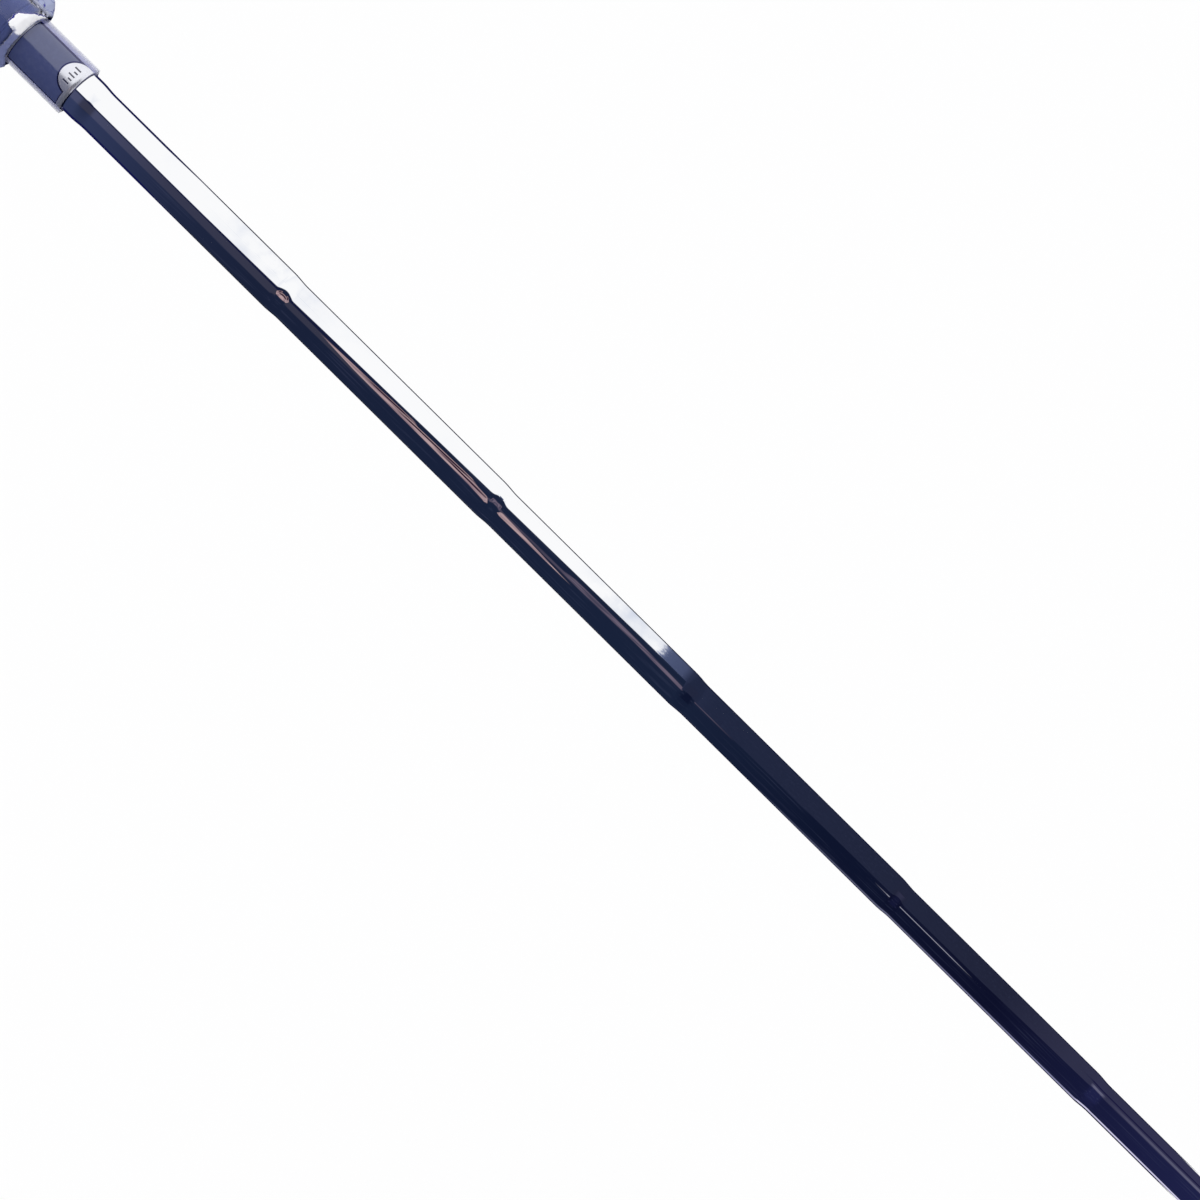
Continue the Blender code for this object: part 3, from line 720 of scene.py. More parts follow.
def turnedMetal(name, colour, placeOn, roughness=0.22):
    # Fine rings left by the lathe; placeOn gives the places that the rings follow
    material = makeFinish(name, colour, roughness, 1.0)
    place = placeOn(material)
    fine = cloudy(place, 2500.0, 3.0)
    roughen(fine, 0.3, 0.7, roughness * 0.7, roughness * 1.4)
    pale = tuple(min(channel * 1.25, 1.0) for channel in colour)
    weather(cloudy(place, 260.0, 5.0), 0.4, 0.7, 0.6, colour, pale)
    emboss(fine, 0.06, 0.0001)
    return material


def makeCapPlug():
    look = plugLook
    head, radius = look["headHeight"], look["threadRadius"]
    end = -head - look["threadLength"]
    profile = [(0.0, 0.0), (look["headRadius"], 0.0, 0.0003), (look["headRadius"], -head, 0.0002),
               (radius, -head)]
    profile += threaded(radius, look["threadDepth"], look["threadPitch"], -head - 0.0004, end + 0.0006)
    profile += [(radius - 0.0006, end), (0.0, end)]
    body = spinProfile(profile, club["smallRoundSides"])
    material = turnedMetal("anodised_plug", look["alloy"], shaftPlace)
    slot, node = "plug_aluminium", ("cap_plug",)
    piece = newPiece("butt_screw", body, shaftLine, material, "butt_plug", node, 30.0)
    width, depth = look["slot"]
    reach = look["headRadius"] * 0.75
    cutWith(piece, blockBody((-width / 2, -reach, -depth), (width / 2, reach, 0.001)), shaftLine)


# Clear film drawn over the grip, pinched flat and crumpled at the mouth

filmLook = {
    "creaseHalfWidth": 0.0130,
    "tipHalfWidth": 0.0094,
    "tipReach": 0.0033,
    "creaseRun": 0.024,
    "stations": 120,
    "wall": 0.00012,
    "wrinkle": 0.00022,
    "crumple": 0.0009,
    "ior": 1.28,
    "film": (0.93, 0.94, 1.0),
    "cloud": fromScreen(186, 194, 228),
    "creaseCloud": 0.0088,       # beyond this from the axis the pinched film is cloudy
    "creaseFade": 0.0010,
    "creaseFull": 0.012,         # above the mouth, from where the corners are fully cloudy
    "cornerCover": 0.55,
    "lipRadius": 0.0084,         # the film's end draws in over the band
    "lipReach": 0.0022,
    "lipRings": 8,
    "lipStart": 0.2642,          # from here the film's end carries a painted highlight on the right
    "lipTurn": 0.0036,           # right of this the painted highlight's edge falls away to the corner
    "lipCorner": 0.0096,
    "lipFall": 0.0063,
    "lipFade": 0.0008,
    "lipStrip": 0.0029,          # how much later the strip of painted shade starts on the left
    "lipCrinkle": 0.0016,        # how far the edge wanders in all
    "paintedShadeLineHalf": 0.0002,
    "lipCover": (0.75, 0.97),    # of the painted shade strip and of the painted highlight
    # the painted highlight on the film's end, then the painted shade of its left strip
    "lipHighlight": (0.97, 0.97, 1.0),
    "lipShade": fromScreen(124, 132, 178),
    # dark painted shade, drawn along the painted highlight's edge and on the folds
    "paintedShadeLine": fromScreen(38, 40, 140),
}


def clearFilm():
    # Thin film: see-through, with gloss that grows at a slant and cloudy creases; its end is painted with a
    # highlight on the right and shade on the left
    look, mouth = filmLook, gripLook["length"]
    material = makeFinish("clear_film_finish", look["film"], 0.07, 1.0)
    place = shaftPlace(material)
    y, z = split(place)[1:3]
    below = times(z, -1.0)
    haze = cloudy(stretch(place, (1.0, 1.0, 0.4)), 320.0, 5.0)
    gloss = startNode(material, "ShaderNodeFresnel", {"IOR": look["ior"]}).outputs[0]
    alpha = plus(gloss, ramp(haze, 0.55, 0.85, 0.0, 0.06))
    side, start = calc("ABSOLUTE", y), look["creaseCloud"]
    creased = ramp(side, start, start + look["creaseFade"], 0.0, 1.0)
    nearMouth = ramp(below, mouth - look["creaseRun"], mouth - look["creaseFull"], 0.0, 1.0)
    corner = times(creased, nearMouth)
    alpha = calc("MULTIPLY_ADD", corner, look["cornerCover"], alpha)
    # Sharp folds run across the pinched corners, drawn as lines of painted shade
    fold = times(inside(cloudy(place, 240.0, 1.5), 0.485, 0.505, 0.008), corner)
    bare = mixColour(corner, look["film"], look["cloud"])
    bare = mixColour(fold, bare, look["paintedShadeLine"])
    # The end has a painted highlight on the right, with a crinkled edge and a dark line along it. The edge
    # falls away on the right, and on the left only a strip of painted shade lies at the mouth.
    wander, half = look["lipCrinkle"], look["paintedShadeLineHalf"]
    crinkle = calc("MULTIPLY_ADD", cloudy(place, 700.0, 4.0), wander, -wander / 2)
    leftwards = calc("MULTIPLY_ADD", crinkle, 2.0, y)
    highlightShare = ramp(leftwards, 0.0, look["lipFade"], 1.0, 0.0)
    fall = ramp(y, -look["lipCorner"], -look["lipTurn"], look["lipFall"], 0.0)
    fall = plus(fall, ramp(highlightShare, 0.0, 1.0, look["lipStrip"], 0.0))
    edge = minus(plus(below, crinkle), fall, look["lipStart"])
    paintedLipLight = ramp(edge, -half / 2, half / 2, 0.0, 1.0)
    line = times(inside(edge, -half, half, 0.00008), ramp(highlightShare, 0.0, 0.4, 0.0, 1.0))
    tint = mixColour(highlightShare, look["lipShade"], look["lipHighlight"])
    tint = mixColour(paintedLipLight, bare, tint)
    plug(mixColour(line, tint, look["paintedShadeLine"]), "Base Color")
    unclouded = minus(1.0, larger(paintedLipLight, corner))
    plug(larger(unclouded, line), "Metallic")
    paintedLipLight = times(paintedLipLight, ramp(highlightShare, 0.0, 1.0, *look["lipCover"]))
    alpha = larger(alpha, fold, paintedLipLight, line)
    plug(calc("MINIMUM", alpha, 1.0), "Alpha")
    roughen(haze, 0.35, 0.75, 0.05, 0.16)
    creases = cloudy(stretch(place, (1.0, 1.0, 0.3)), 420.0, 3.0)
    emboss(creases, 0.25, 0.0005)
    return material


def makeGripFilm():
    look = filmLook
    mouth = gripLook["length"]
    start = mouth - look["creaseRun"]

    def section(angle, height):
        place = -height
        tight = gripRadius(angle, min(place, noseTop), club["fitGap"])
        pinch = between(0.0, 1.0, (place - start) / look["creaseRun"] * 1.2)
        pinched = creasedRadius(angle, gripLook["noseTopRadius"] + club["fitGap"], look["creaseHalfWidth"])
        reach = tight + (pinched - tight) * pinch
        spot = Vector((math.cos(angle) * 1.6, math.sin(angle) * 1.6, place * 130.0))
        folds = abs(noise.noise(spot)) + 0.5 * abs(noise.noise(spot * 2.3))
        rough = between(look["wrinkle"], look["crumple"] * 0.4, (place - start) / look["creaseRun"])
        # Folds only stand outwards, and the film stays within the cap's own width at the top
        room = between(0.0, 1.0, (place - 0.004) / 0.02)
        return reach + folds * rough * room, 0.0

    top, last = gripLook["capEdge"], look["stations"] - 1
    end = mouth - 0.0003
    stations = [(-(top + (end - top) * step / last), section) for step in range(look["stations"])]

    def lipAt(share):
        # The end draws in over the band, and its creased corners hang further down
        def ring(angle, height):
            first = section(angle, -end)[0]
            final = creasedRadius(angle, look["lipRadius"], look["tipHalfWidth"])
            side = abs(math.sin(angle)) ** 6
            drop = look["lipReach"] + (look["tipReach"] - look["lipReach"]) * side
            ripple = abs(noise.noise(Vector((math.cos(angle) * 4.0, math.sin(angle) * 4.0, 3.0 + share))))
            drop -= look["crumple"] * 0.5 * ripple
            return first + (final - first) * share ** 1.6, -drop * share
        return ring

    rings = look["lipRings"]
    stations += [(-end, lipAt((step + 1) / rings)) for step in range(rings)]
    body = sweepRings(stations, gripLook["sides"])
    piece = newPiece("grip_wrap", body, shaftLine, clearFilm(), "putter", ("grip_film",), 60.0)
    wall = piece.modifiers.new("Film", "SOLIDIFY")
    wall.thickness = look["wall"]
    wall.offset = 1.0


# Head, neck and the small parts

steelLook = {
    "head": (0.60, 0.60, 0.62),
    "neck": (0.58, 0.58, 0.60),
    "insert": (0.33, 0.34, 0.37),
    "weight": (0.46, 0.47, 0.50),
    "headMarks": 0.00042,        # pitch of the cutter's arcs
    "neckMarks": 0.00030,
    "cutterBelow": 0.09,         # the arcs' centre lies this far below the sole
}


def milledSteel(name, colour, pitch, roughness):
    # Arcs left by a fly cutter, about a centre far below the piece
    material = makeFinish(name, colour, roughness, 1.0)
    low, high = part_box("head_body")
    spot = objectPlace(material)
    offset = (-(low.x + high.x) / 2, 0.0, steelLook["cutterBelow"] - low.z)
    place = addNode("ShaderNodeMapping", {"Vector": spot, "Location": offset}).outputs[0]
    x, y, z = split(place)[:3]
    radius = calc("SQRT", plus(times(x, x), times(z, z)))
    arcs = calc("SINE", times(radius, math.tau / pitch))
    fine = cloudy(spot, 1800.0, 4.0)
    emboss(calc("MULTIPLY_ADD", arcs, 0.5, fine), 0.20, 0.00012)
    patch = cloudy(spot, 120.0, 5.0)
    roughen(patch, 0.35, 0.7, roughness * 0.9, roughness * 1.15)
    weather(patch, 0.4, 0.75, 0.35, colour, tuple(channel * 0.86 for channel in colour))
    return material


def blastedAluminium():
    colour = steelLook["insert"]
    material = makeFinish("blasted_aluminium", colour, 0.42, 1.0)
    place = objectPlace(material)
    emboss(cloudy(place, 3200.0, 3.0), 0.25, 0.0001)
    stain = cloudy(place, 150.0, 5.0)
    roughen(stain, 0.3, 0.75, 0.34, 0.52)
    weather(stain, 0.4, 0.7, 0.6, colour, tuple(channel * 0.82 for channel in colour))
    return material


def plainFinish(name, colour, roughness, metallic=0.0, pitch=900.0, strength=0.2):
    material = makeFinish(name, colour, roughness, metallic)
    place = objectPlace(material)
    grain = cloudy(place, pitch, 5.0)
    roughen(grain, 0.3, 0.7, roughness * 0.8, min(roughness * 1.2, 1.0))
    pale = tuple(min(channel * 1.3 + 0.01, 1.0) for channel in colour)
    weather(cloudy(place, pitch / 6, 5.0), 0.45, 0.75, 0.5, colour, pale)
    emboss(grain, strength, 0.0002)
    return material


weightLook = {
    "headRadius": 0.0058,
    "headHeight": 0.0018,
    "threadRadius": 0.0045,
    "threadLength": 0.0090,
    "threadPitch": 0.00075,
    "threadDepth": 0.00035,
    "recess": 0.0004,
    "keyFlats": 0.0040,
    "keyDepth": 0.0038,
    "faceGroove": (0.0045, 0.0043, 0.0036, 0.0034),     # radii from its outer to its inner edge
    "faceGrooveDepth": 0.0003,
}


def makeWeight(end):
    # +Z runs into the head from the bumper's back face
    look = weightLook
    low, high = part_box("bumper_weight_" + end)
    spot = Vector(((low.x + high.x) / 2, high.y + look["recess"], (low.z + high.z) / 2))
    line = Matrix.Translation(spot) @ Matrix.Rotation(math.pi / 2, 4, "X")
    start, radius = look["recess"], look["threadRadius"]
    headTop = start + look["headHeight"]
    top = headTop + look["threadLength"]
    profile = [(0.0, top), (radius - 0.0006, top)]
    profile += threaded(radius, look["threadDepth"], look["threadPitch"], top - 0.0005, headTop + 0.0005)
    outer, outerFoot, innerFoot, inner = look["faceGroove"]
    foot = start + look["faceGrooveDepth"]
    profile += [(radius - 0.0004, headTop), (look["headRadius"], headTop, 0.0002),
                (look["headRadius"], start, 0.0005), (outer, start, 0.0002), (outerFoot, foot, 0.0001),
                (innerFoot, foot, 0.0001), (inner, start, 0.0002), (0.0, start)]
    body = spinProfile(profile, club["smallRoundSides"])
    material = turnedMetal("weight_" + end + "_steel", steelLook["weight"], objectPlace)
    name, nodes = end + "_weight_screw", ("bumper_weight_" + end,)
    piece = newPiece(name, body, line, material, end + "_weight", nodes, 30.0)
    cutWith(piece, hexBody(look["keyFlats"], -0.001, start + look["keyDepth"]), line)
    washer = plainFinish("washer_" + end + "_rubber", (0.035, 0.035, 0.04), 0.7)
    dressNode("weight_washer_" + end, washer)


ferruleLook = {
    "socketTop": 0.0660,         # ground to the neck's mouth along the shaft
    "clubLength": 0.8636,
    "length": 0.0115,
    "topRadius": 0.0057,
    "footRadius": 0.0069,
    "ring": 0.0025,
    "ringGroove": 0.00025,
}


def makeFerrule():
    look = ferruleLook
    low = look["clubLength"] - look["socketTop"] - club["fitGap"]
    top = low - look["length"]
    ring, groove = low - look["ring"], look["ringGroove"]
    bore = shaftLook["tipDiameter"] / 2 + club["fitGap"]
    profile = [
        (bore, -top - 0.001),
        (bore, -top, 0.0002),
        (look["topRadius"], -top, 0.0003),
        (look["footRadius"] - 0.00012, -(ring - 0.0006), 0.0003),
        (look["footRadius"] - groove - 0.0001, -ring, 0.0001),
        (look["footRadius"], -(ring + 0.0005), 0.0002),
        (look["footRadius"], -low, 0.0003),
        (bore, -low),
        (bore, -low + 0.001),
    ]
    body = spinProfile(profile, club["roundSides"], closed=True)
    material = plainFinish("ferrule_gloss", (0.018, 0.018, 0.024), 0.14, 0.0, 300.0, 0.03)
    newPiece("shaft_ferrule", body, shaftLine, material, "putter", ("ferrule",))


# Stage

stageLook = {
    "frameCentre": 0.4874,       # butt end to the frame's centre along the axis
    "axisOffset": 0.00125,       # the axis passes this far left of the frame's centre
    "distance": 1.03,
    "slope": 44.65,              # degrees of the shaft below the frame's horizontal
    "lens": 113.4,
    "floorColour": (0.93, 0.93, 0.94),
    "floorGlow": 0.78,           # share of plain white in what the camera sees of the floor
    "floorHalf": 15.0,
    "worldFill": 0.62,
    "keySun": 1.25,
    "fillSun": 0.45,
}
centre = buttEnd - upShaft * stageLook["frameCentre"]
towardsLens = Vector((-math.cos(leanAngle), 0.0, math.sin(leanAngle)))
faceSide = Vector((0.0, -1.0, 0.0))
# In this frame X is the face side, Y is up the shaft and Z is towards the lens
lensFrame = Matrix.Translation(centre) @ Matrix((faceSide, upShaft, towardsLens)).transposed().to_4x4()


def makeCamera():
    look = stageLook
    camera = bpy.data.cameras.new("photo_camera")
    camera.lens = look["lens"]
    camera.sensor_width = 36.0
    camera.clip_start = 0.05
    camera.clip_end = 60.0
    slope = math.radians(look["slope"])
    right = -upShaft * math.cos(slope) + faceSide * math.sin(slope)
    up = upShaft * math.sin(slope) + faceSide * math.cos(slope)
    turn = Matrix((right, up, towardsLens)).transposed().to_4x4()
    view = bpy.data.objects.new("photo_camera", camera)
    view.matrix_world = Matrix.Translation(
        centre + faceSide * look["axisOffset"] + towardsLens * look["distance"]) @ turn
    bpy.context.scene.collection.objects.link(view)
    bpy.context.scene.camera = view


def seenDirectly(material):
    # 1 for rays from the camera, from gloss and through clear film, which show the white set
    rays = startNode(material, "ShaderNodeLightPath").outputs
    return larger(rays["Is Camera Ray"], rays["Is Glossy Ray"], rays["Is Transmission Ray"])


def makeFloor():
    look = stageLook
    material = makeFinish("pale_floor", look["floorColour"], 0.9)
    tree = material.node_tree
    glow = startNode(material, "ShaderNodeEmission", {"Color": (1.0, 1.0, 1.0, 1.0), "Strength": 1.0})
    share = times(seenDirectly(material), look["floorGlow"])
    mix = addNode("ShaderNodeMixShader", {0: share, 2: glow.outputs[0]})
    shader = tree.nodes["Principled BSDF"]
    shader.inputs["Specular IOR Level"].default_value = 0.0
    tree.links.new(shader.outputs[0], mix.inputs[1])
    tree.links.new(mix.outputs[0], tree.nodes["Material Output"].inputs["Surface"])
    body = bmesh.new()
    bmesh.ops.create_grid(body, x_segments=4, y_segments=4, size=look["floorHalf"])
    floor = asObject("studio_floor", body, Matrix.Translation((0.0, 0.0, floorLevel - 0.0001)))
    floor.data.materials.append(material)


def makeWorld():
    world = bpy.data.worlds.new("white_studio")
    world.use_nodes = True
    bpy.context.scene.world = world
    background = world.node_tree.nodes["Background"]
    background.inputs["Color"].default_value = (1.0, 1.0, 1.0, 1.0)
    strength = ramp(seenDirectly(world), 0.0, 1.0, stageLook["worldFill"], 1.0)
    world.node_tree.links.new(strength, background.inputs["Strength"])


def addSun(name, direction, strength, softness):
    # A far, wide source, so that floor and object are lit evenly
    sun = bpy.data.lights.new(name, "SUN")
    sun.energy = strength
    sun.angle = math.radians(softness)
    holder = bpy.data.objects.new(name, sun)
    holder.rotation_euler = Vector(direction).to_track_quat("-Z", "Y").to_euler()
    holder.visible_glossy = False
    bpy.context.scene.collection.objects.link(holder)


# Cards that only the gloss sees, as a photographer sets them round chrome. A round shaft shows a
# card's point at half its angle from the lens, so the paint is laid out by where it shows on the
# shaft: below the butt end in metres, and across from -1 at its left edge to 1 at its right.
cardLook = {
    "shaftHalf": 0.0028,         # half the shaft's mean radius, which the near cards' angles need
    "shaftMean": 0.006,          # turns a place across into metres, for the grain of the paint
    "navy": ((0.292, (51, 60, 94)), (0.330, (33, 41, 67)), (0.360, (26, 34, 58)), (0.520, (25, 35, 59)),
             (0.575, (15, 22, 46)), (0.640, (14, 17, 42)), (0.716, (31, 34, 72))),
    "navyLines": (74, 80, 108),
    "strip": ((0.290, (74, 78, 108)), (0.325, (56, 58, 80)), (0.390, (54, 55, 72))),
    "stripLow": ((0.364, -0.39), (0.371, -0.33), (0.393, -0.31), (0.409, -0.24)),
    "stripHigh": -0.07,
    "stripFade": (0.395, 0.425),
    "nearEdge": (15, 18, 56),
    "nearEdgeFade": (0.360, 0.420),
    "edge": ((0.338, 0.0), (0.371, 0.059), (0.431, 0.208), (0.507, 0.357), (0.520, 0.34), (0.525, -0.07),
             (0.575, 0.0), (0.632, 0.05), (0.675, 0.19), (0.717, 0.215)),
    "rose": (190, 163, 164),
    "dustyRose": (140, 116, 126),
    "maroon": (44, 26, 46),
    "roseRun": (0.384, 0.477),
    "roseSlant": 0.030,
    "roseLow": ((0.3835, -0.105), (0.396, -0.215), (0.440, -0.25), (0.446, -0.30), (0.4505, -0.31),
                (0.475, -0.27)),
    "roseHigh": ((0.3835, -0.105), (0.4175, 0.055), (0.4195, -0.02), (0.4396, 0.055), (0.4425, -0.03),
                 (0.4505, -0.09), (0.475, -0.25)),
    "maroonLines": (((0.4000, -0.080), (0.4178, 0.008)), ((0.4130, -0.110), (0.4405, 0.000)),
                    ((0.4300, -0.120), (0.4470, -0.120))),
    "maroonHalf": 0.036,
    "mauve": (112, 100, 118),
    "mauveRun": (0.450, 0.532),
    "mauveFull": (0.474, 0.481),
    "mauveLow": ((0.450, -0.14), (0.477, -0.13), (0.502, -0.065), (0.520, -0.11)),
    "mauveHigh": ((0.450, -0.05), (0.475, -0.02), (0.479, 0.095), (0.502, 0.105), (0.520, 0.03),
                  (0.537, -0.02)),
    "slate": ((0.5085, (130, 140, 175)), (0.511, (80, 90, 122)), (0.5172, (70, 79, 110)),
              (0.5195, (42, 49, 75)), (0.530, (33, 40, 64)), (0.640, (34, 37, 58)),
              (0.665, (48, 49, 73)), (0.717, (54, 53, 84))),
    "slateStart": 0.5088,
    "slateBreak": 0.007,
    "slateSpeck": (58, 64, 92),
    "pale": (204, 212, 230),
    "lowBand": ((0.680, (64, 64, 90)), (0.717, (100, 100, 124))),
    "lowBandAcross": (0.24, 0.375),
    "lowBandFrom": (0.678, 0.688),
    "lowLine": (24, 23, 60),
    "lowLineAcross": (0.465, 0.530),
    "lowLineFrom": (0.670, 0.677),
    "glint": (168, 168, 184),
    "glintAcross": (-0.178, -0.148),
    "glintRun": (0.598, 0.627),
    "lilac": ((0.556, (45, 50, 76)), (0.600, (90, 92, 118)), (0.668, (132, 132, 166)),
              (0.684, (214, 210, 238))),
    "lilacFrom": (0.550, 0.562),
    "lilacMiddle": ((0.558, -0.935), (0.674, -0.910), (0.681, -0.886)),
    "lilacHalf": 0.038,
    "rim": ((0.320, (16, 18, 74)), (0.340, (34, 38, 56)), (0.505, (34, 38, 56)), (0.512, (15, 18, 52))),
    "rimFrom": ((0.318, 0.905), (0.330, 0.95)),
    "tintedWhite": ((0.345, 0.372, 0.012), (0.486, 0.512, 0.010)),      # from, to and softness
    # Middles and sizes in lensFrame, and the way that each card faces
    "cards": {
        "lens_card": ((-0.02, 0.095, 0.43), (0.96, 1.19), "Z"),
        "left_card": ((-0.13, 0.125, -0.1175), (0.485, 0.79), "X"),
        "right_card": ((0.13, 0.125, -0.1125), (0.495, 0.79), "X"),
        "rear_card": ((0.0, 0.125, -0.20), (0.24, 0.79), "Z"),
    },
}


def follow(place, stops):
    # A value that changes evenly from stop to stop
    (start, first), (end, second) = stops[:2]
    value = ramp(place, start, end, first, second)
    for (start, first), (end, second) in zip(stops[1:], stops[2:]):
        value = plus(value, ramp(place, start, end, 0.0, second - first))
    return value


def tintRun(place, stops):
    # A colour that changes from stop to stop
    colour = fromScreen(*stops[0][1])
    for (start, _), (end, tint) in zip(stops, stops[1:]):
        colour = mixColour(ramp(place, start, end, 0.0, 1.0), colour, fromScreen(*tint))
    return colour


def paintCards():
    look = cardLook
    material = makeFinish("painted_cards", (0.0, 0.0, 0.0), 1.0)

    def aroundMiddle(middle, half, soft):
        return inside(across, minus(middle, half), plus(middle, half), soft)

    def starting(span, first=0.0, last=1.0):
        return ramp(below, *span, first, last)

    def lay(share, under, tint):
        # A tint is either three numbers as a screen shows them, or stops down the shaft
        over = tintRun(below, tint) if isinstance(tint[0], tuple) else fromScreen(*tint)
        return mixColour(share, under, over)

    # Where a point of a card shows on the shaft
    x, y, z = split(shaftPlace(material))[:3]
    distance = calc("SQRT", plus(times(x, x), times(y, y)))
    spread = calc("MULTIPLY_ADD", distance, 1.0 / stageLook["distance"], 1.0)
    drop = minus(times(z, -1.0), stageLook["frameCentre"])
    below = plus(calc("DIVIDE", drop, spread), stageLook["frameCentre"])
    turn = calc("ARCTAN2", times(y, -1.0), times(x, -1.0))
    half = times(turn, 0.5)
    nearby = times(calc("DIVIDE", look["shaftHalf"], distance), calc("SINE", half))
    across = calc("SINE", plus(half, nearby))
    sideways = times(across, look["shaftMean"])
    spot = addNode("ShaderNodeCombineXYZ", {0: sideways, 1: below}).outputs[0]
    speck = cloudy(spot, 1500.0, 4.0, 0.7)
    cloud = cloudy(spot, 90.0, 5.0)
    drawn = cloudy(stretch(spot, (1.0, 0.02, 1.0)), 2200.0, 3.0)
    # Navy on the left, with a greyer strip and a near black line beside the white
    colour = tintRun(below, look["navy"])
    colour = lay(ramp(drawn, 0.55, 0.8, 0.0, 0.35), colour, look["navyLines"])
    edge = follow(below, look["edge"])
    nearEdge = inside(across, look["stripHigh"], edge, 0.02)
    colour = lay(times(nearEdge, starting(look["nearEdgeFade"], 0.9, 0.0)), colour, look["nearEdge"])
    strip = inside(across, follow(below, look["stripLow"]), look["stripHigh"], 0.02)
    colour = lay(times(strip, starting(look["stripFade"], 1.0, 0.0)), colour, look["strip"])
    # Rose and mauve streaks along the middle
    slanted = calc("MULTIPLY_ADD", below, -look["roseSlant"], sideways)
    lie = addNode("ShaderNodeCombineXYZ", {0: slanted, 1: times(below, 0.03)}).outputs[0]
    streak = cloudy(lie, 2300.0, 2.0)
    rose = lay(ramp(streak, 0.38, 0.60, 0.0, 1.0), fromScreen(*look["dustyRose"]), look["rose"])
    for (start, first), (end, second) in look["maroonLines"]:
        middle = ramp(below, start, end, first, second)
        line = aroundMiddle(middle, look["maroonHalf"], 0.010)
        rose = lay(times(line, inside(below, start, end, 0.004)), rose, look["maroon"])
    low, high = follow(below, look["roseLow"]), follow(below, look["roseHigh"])
    mask = times(inside(across, low, high, 0.014), inside(below, *look["roseRun"], 0.002))
    colour = mixColour(mask, colour, rose)
    low, high = follow(below, look["mauveLow"]), follow(below, look["mauveHigh"])
    mask = times(inside(across, low, high, 0.025), starting(look["mauveFull"], 0.4, 1.0),
                 inside(below, *look["mauveRun"], 0.008), ramp(streak, 0.38, 0.58, 0.35, 1.0))
    colour = lay(mask, colour, look["mauve"])
    # Slate on the right below a speckled edge, with a lighter band at its foot
    slate = tintRun(below, look["slate"])
    slate = lay(ramp(speck, 0.5, 0.8, 0.0, 0.4), slate, look["slateSpeck"])
    band = times(inside(across, *look["lowBandAcross"], 0.015), starting(look["lowBandFrom"], 0.0, 0.95))
    slate = lay(band, slate, look["lowBand"])
    line = times(inside(across, *look["lowLineAcross"], 0.012), starting(look["lowLineFrom"]))
    slate = lay(line, slate, look["lowLine"])
    rightSide = ramp(minus(across, edge), -0.012, 0.012, 0.0, 1.0)
    broken = calc("MULTIPLY_ADD", minus(speck, 0.5), look["slateBreak"], below)
    started = ramp(minus(broken, look["slateStart"]), -0.0008, 0.0008, 0.0, 1.0)
    pale = mixColour(started, fromScreen(*look["pale"]), slate)
    colour = mixColour(rightSide, colour, pale)
    # A thin glint on the left, the dark rims, and the lilac line near the left edge
    glint = times(inside(across, *look["glintAcross"], 0.012), inside(below, *look["glintRun"], 0.004))
    colour = lay(glint, colour, look["glint"])
    outside = minus(calc("ABSOLUTE", across), follow(below, look["rimFrom"]))
    rim = ramp(outside, -0.008, 0.008, 0.0, 1.0)
    colour = lay(rim, colour, look["rim"])
    lilac = aroundMiddle(follow(below, look["lilacMiddle"]), look["lilacHalf"], 0.012)
    colour = lay(times(lilac, starting(look["lilacFrom"])), colour, look["lilac"])
    # The white above the slate is bare studio, with a faint tint in places
    tints = plus(*(inside(below, *run) for run in look["tintedWhite"]))
    tints = times(tints, ramp(cloud, 0.42, 0.68, 0.0, 0.8))
    shown = larger(minus(1.0, rightSide), started, rim, tints)
    glow = addNode("ShaderNodeEmission", {"Color": colour})
    clear = startNode(material, "ShaderNodeBsdfTransparent")
    surface = addNode("ShaderNodeMixShader", {0: shown, 1: clear.outputs[0], 2: glow.outputs[0]})
    tree = material.node_tree
    tree.links.new(surface.outputs[0], tree.nodes["Material Output"].inputs["Surface"])
    return material


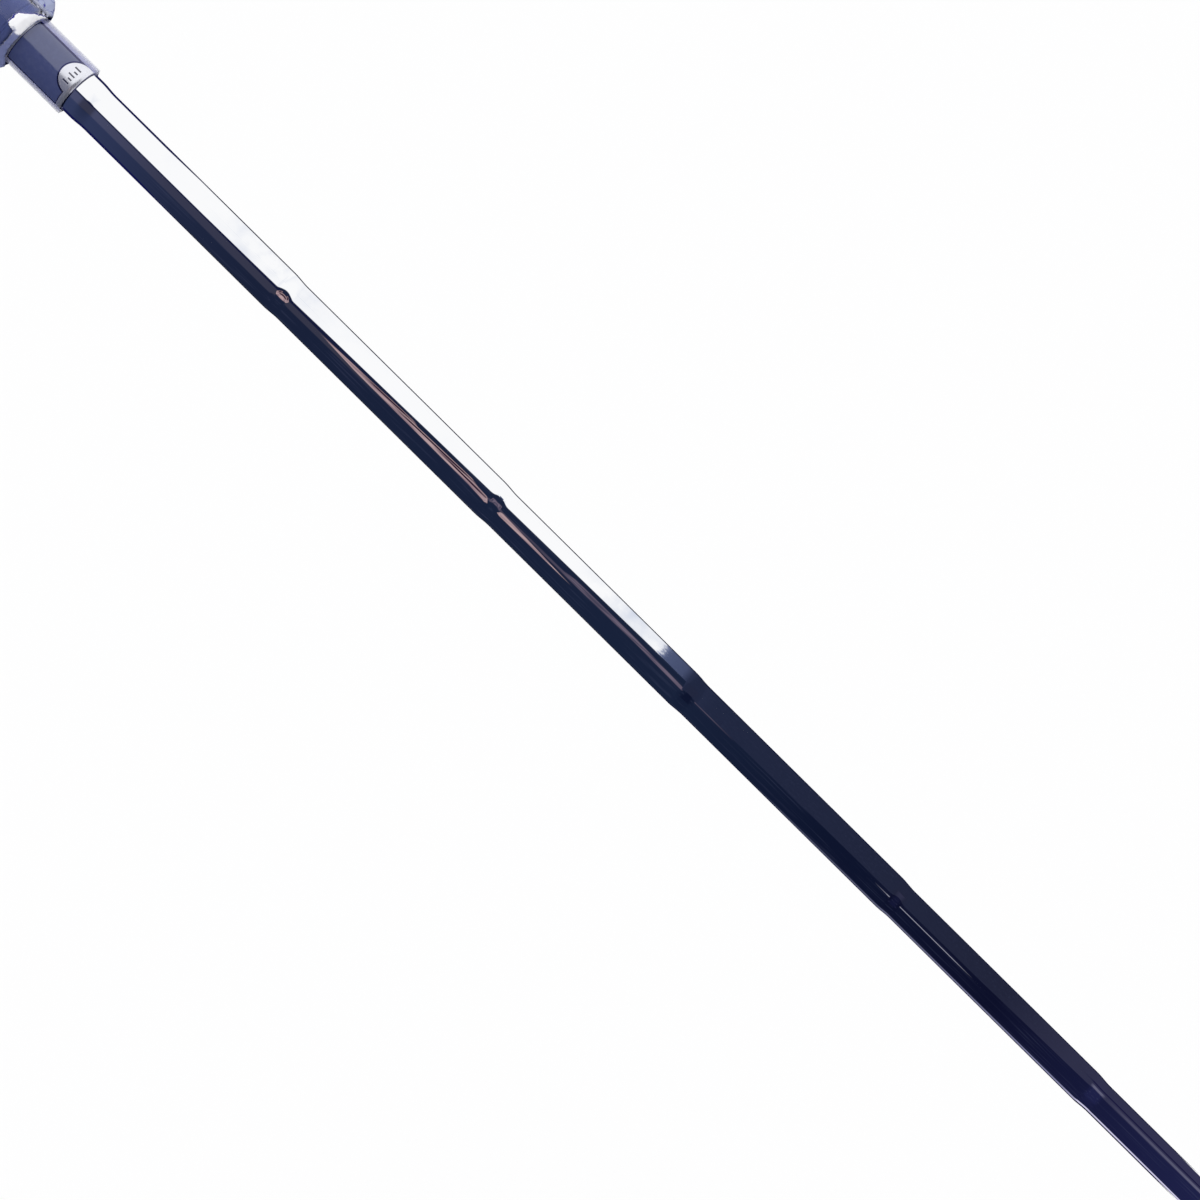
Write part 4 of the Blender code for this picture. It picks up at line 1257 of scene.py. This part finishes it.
def makeCards():
    # Flat cards that face along the lens or to a side
    paint = paintCards()
    for name, (middle, size, facing) in cardLook["cards"].items():
        turn = Matrix.Rotation(math.pi / 2, 4, "Y") if facing == "X" else upright
        place = lensFrame @ Matrix.Translation(middle) @ turn @ Matrix.Diagonal((*size, 1.0, 1.0))
        body = bmesh.new()
        bmesh.ops.create_grid(body, x_segments=1, y_segments=1, size=0.5)
        card = asObject(name, body, place)
        card.data.materials.append(paint)
        card.visible_camera = False
        card.visible_diffuse = False
        card.visible_transmission = False
        card.visible_shadow = False


print("putter: packed frame loaded, sole at", round(floorLevel, 4))
makeCamera()
makeWorld()
makeFloor()
addSun("key_light", (0.5, 0.6, -1.0), stageLook["keySun"], 35.0)
addSun("fill_light", (-0.6, -0.5, -0.9), stageLook["fillSun"], 60.0)
makeCards()
print("putter: stage set")
makeShaft()
makeBand()
print("putter: shaft and band made")
makeGripSkin()
makeGripNose()
makeEndCap()
makeCapPlug()
makeGripFilm()
coreFoam = plainFinish("core_foam_finish", (0.20, 0.20, 0.21), 0.9, 0.0, 1500.0, 0.6)
dressNode("grip_tape", plainFinish("masking_tape_finish", (0.60, 0.50, 0.32), 0.8))
dressNode("grip_core", coreFoam)
print("putter: grip, cap and wrap made")
milledHead = milledSteel("milled_head", steelLook["head"], steelLook["headMarks"], 0.36)
milledNeck = milledSteel("milled_neck", steelLook["neck"], steelLook["neckMarks"], 0.33)
dressNode("head_body", milledHead)
dressNode("hosel_neck", milledNeck)
dressNode("face_insert", blastedAluminium(), 30.0)
dressNode("insert_bond_sheet", plainFinish("bond_sheet_finish", (0.70, 0.68, 0.62), 0.7))
sightPaint = plainFinish("sight_paint_finish", (0.82, 0.82, 0.80), 0.45, 0.0, 700.0, 0.1)
dressNode("sight_line_inlay", sightPaint)
dressNode("neck_screw", plainFinish("black_oxide", (0.10, 0.10, 0.11), 0.35, 1.0, 900.0, 0.1))
dressNode("tip_plug", plainFinish("tip_plug_rubber", (0.09, 0.09, 0.09), 0.8))
makeWeight("toe")
makeWeight("heel")
makeFerrule()
print("putter: head, neck and weights made")

bpy.context.scene.view_settings.view_transform = "Standard"
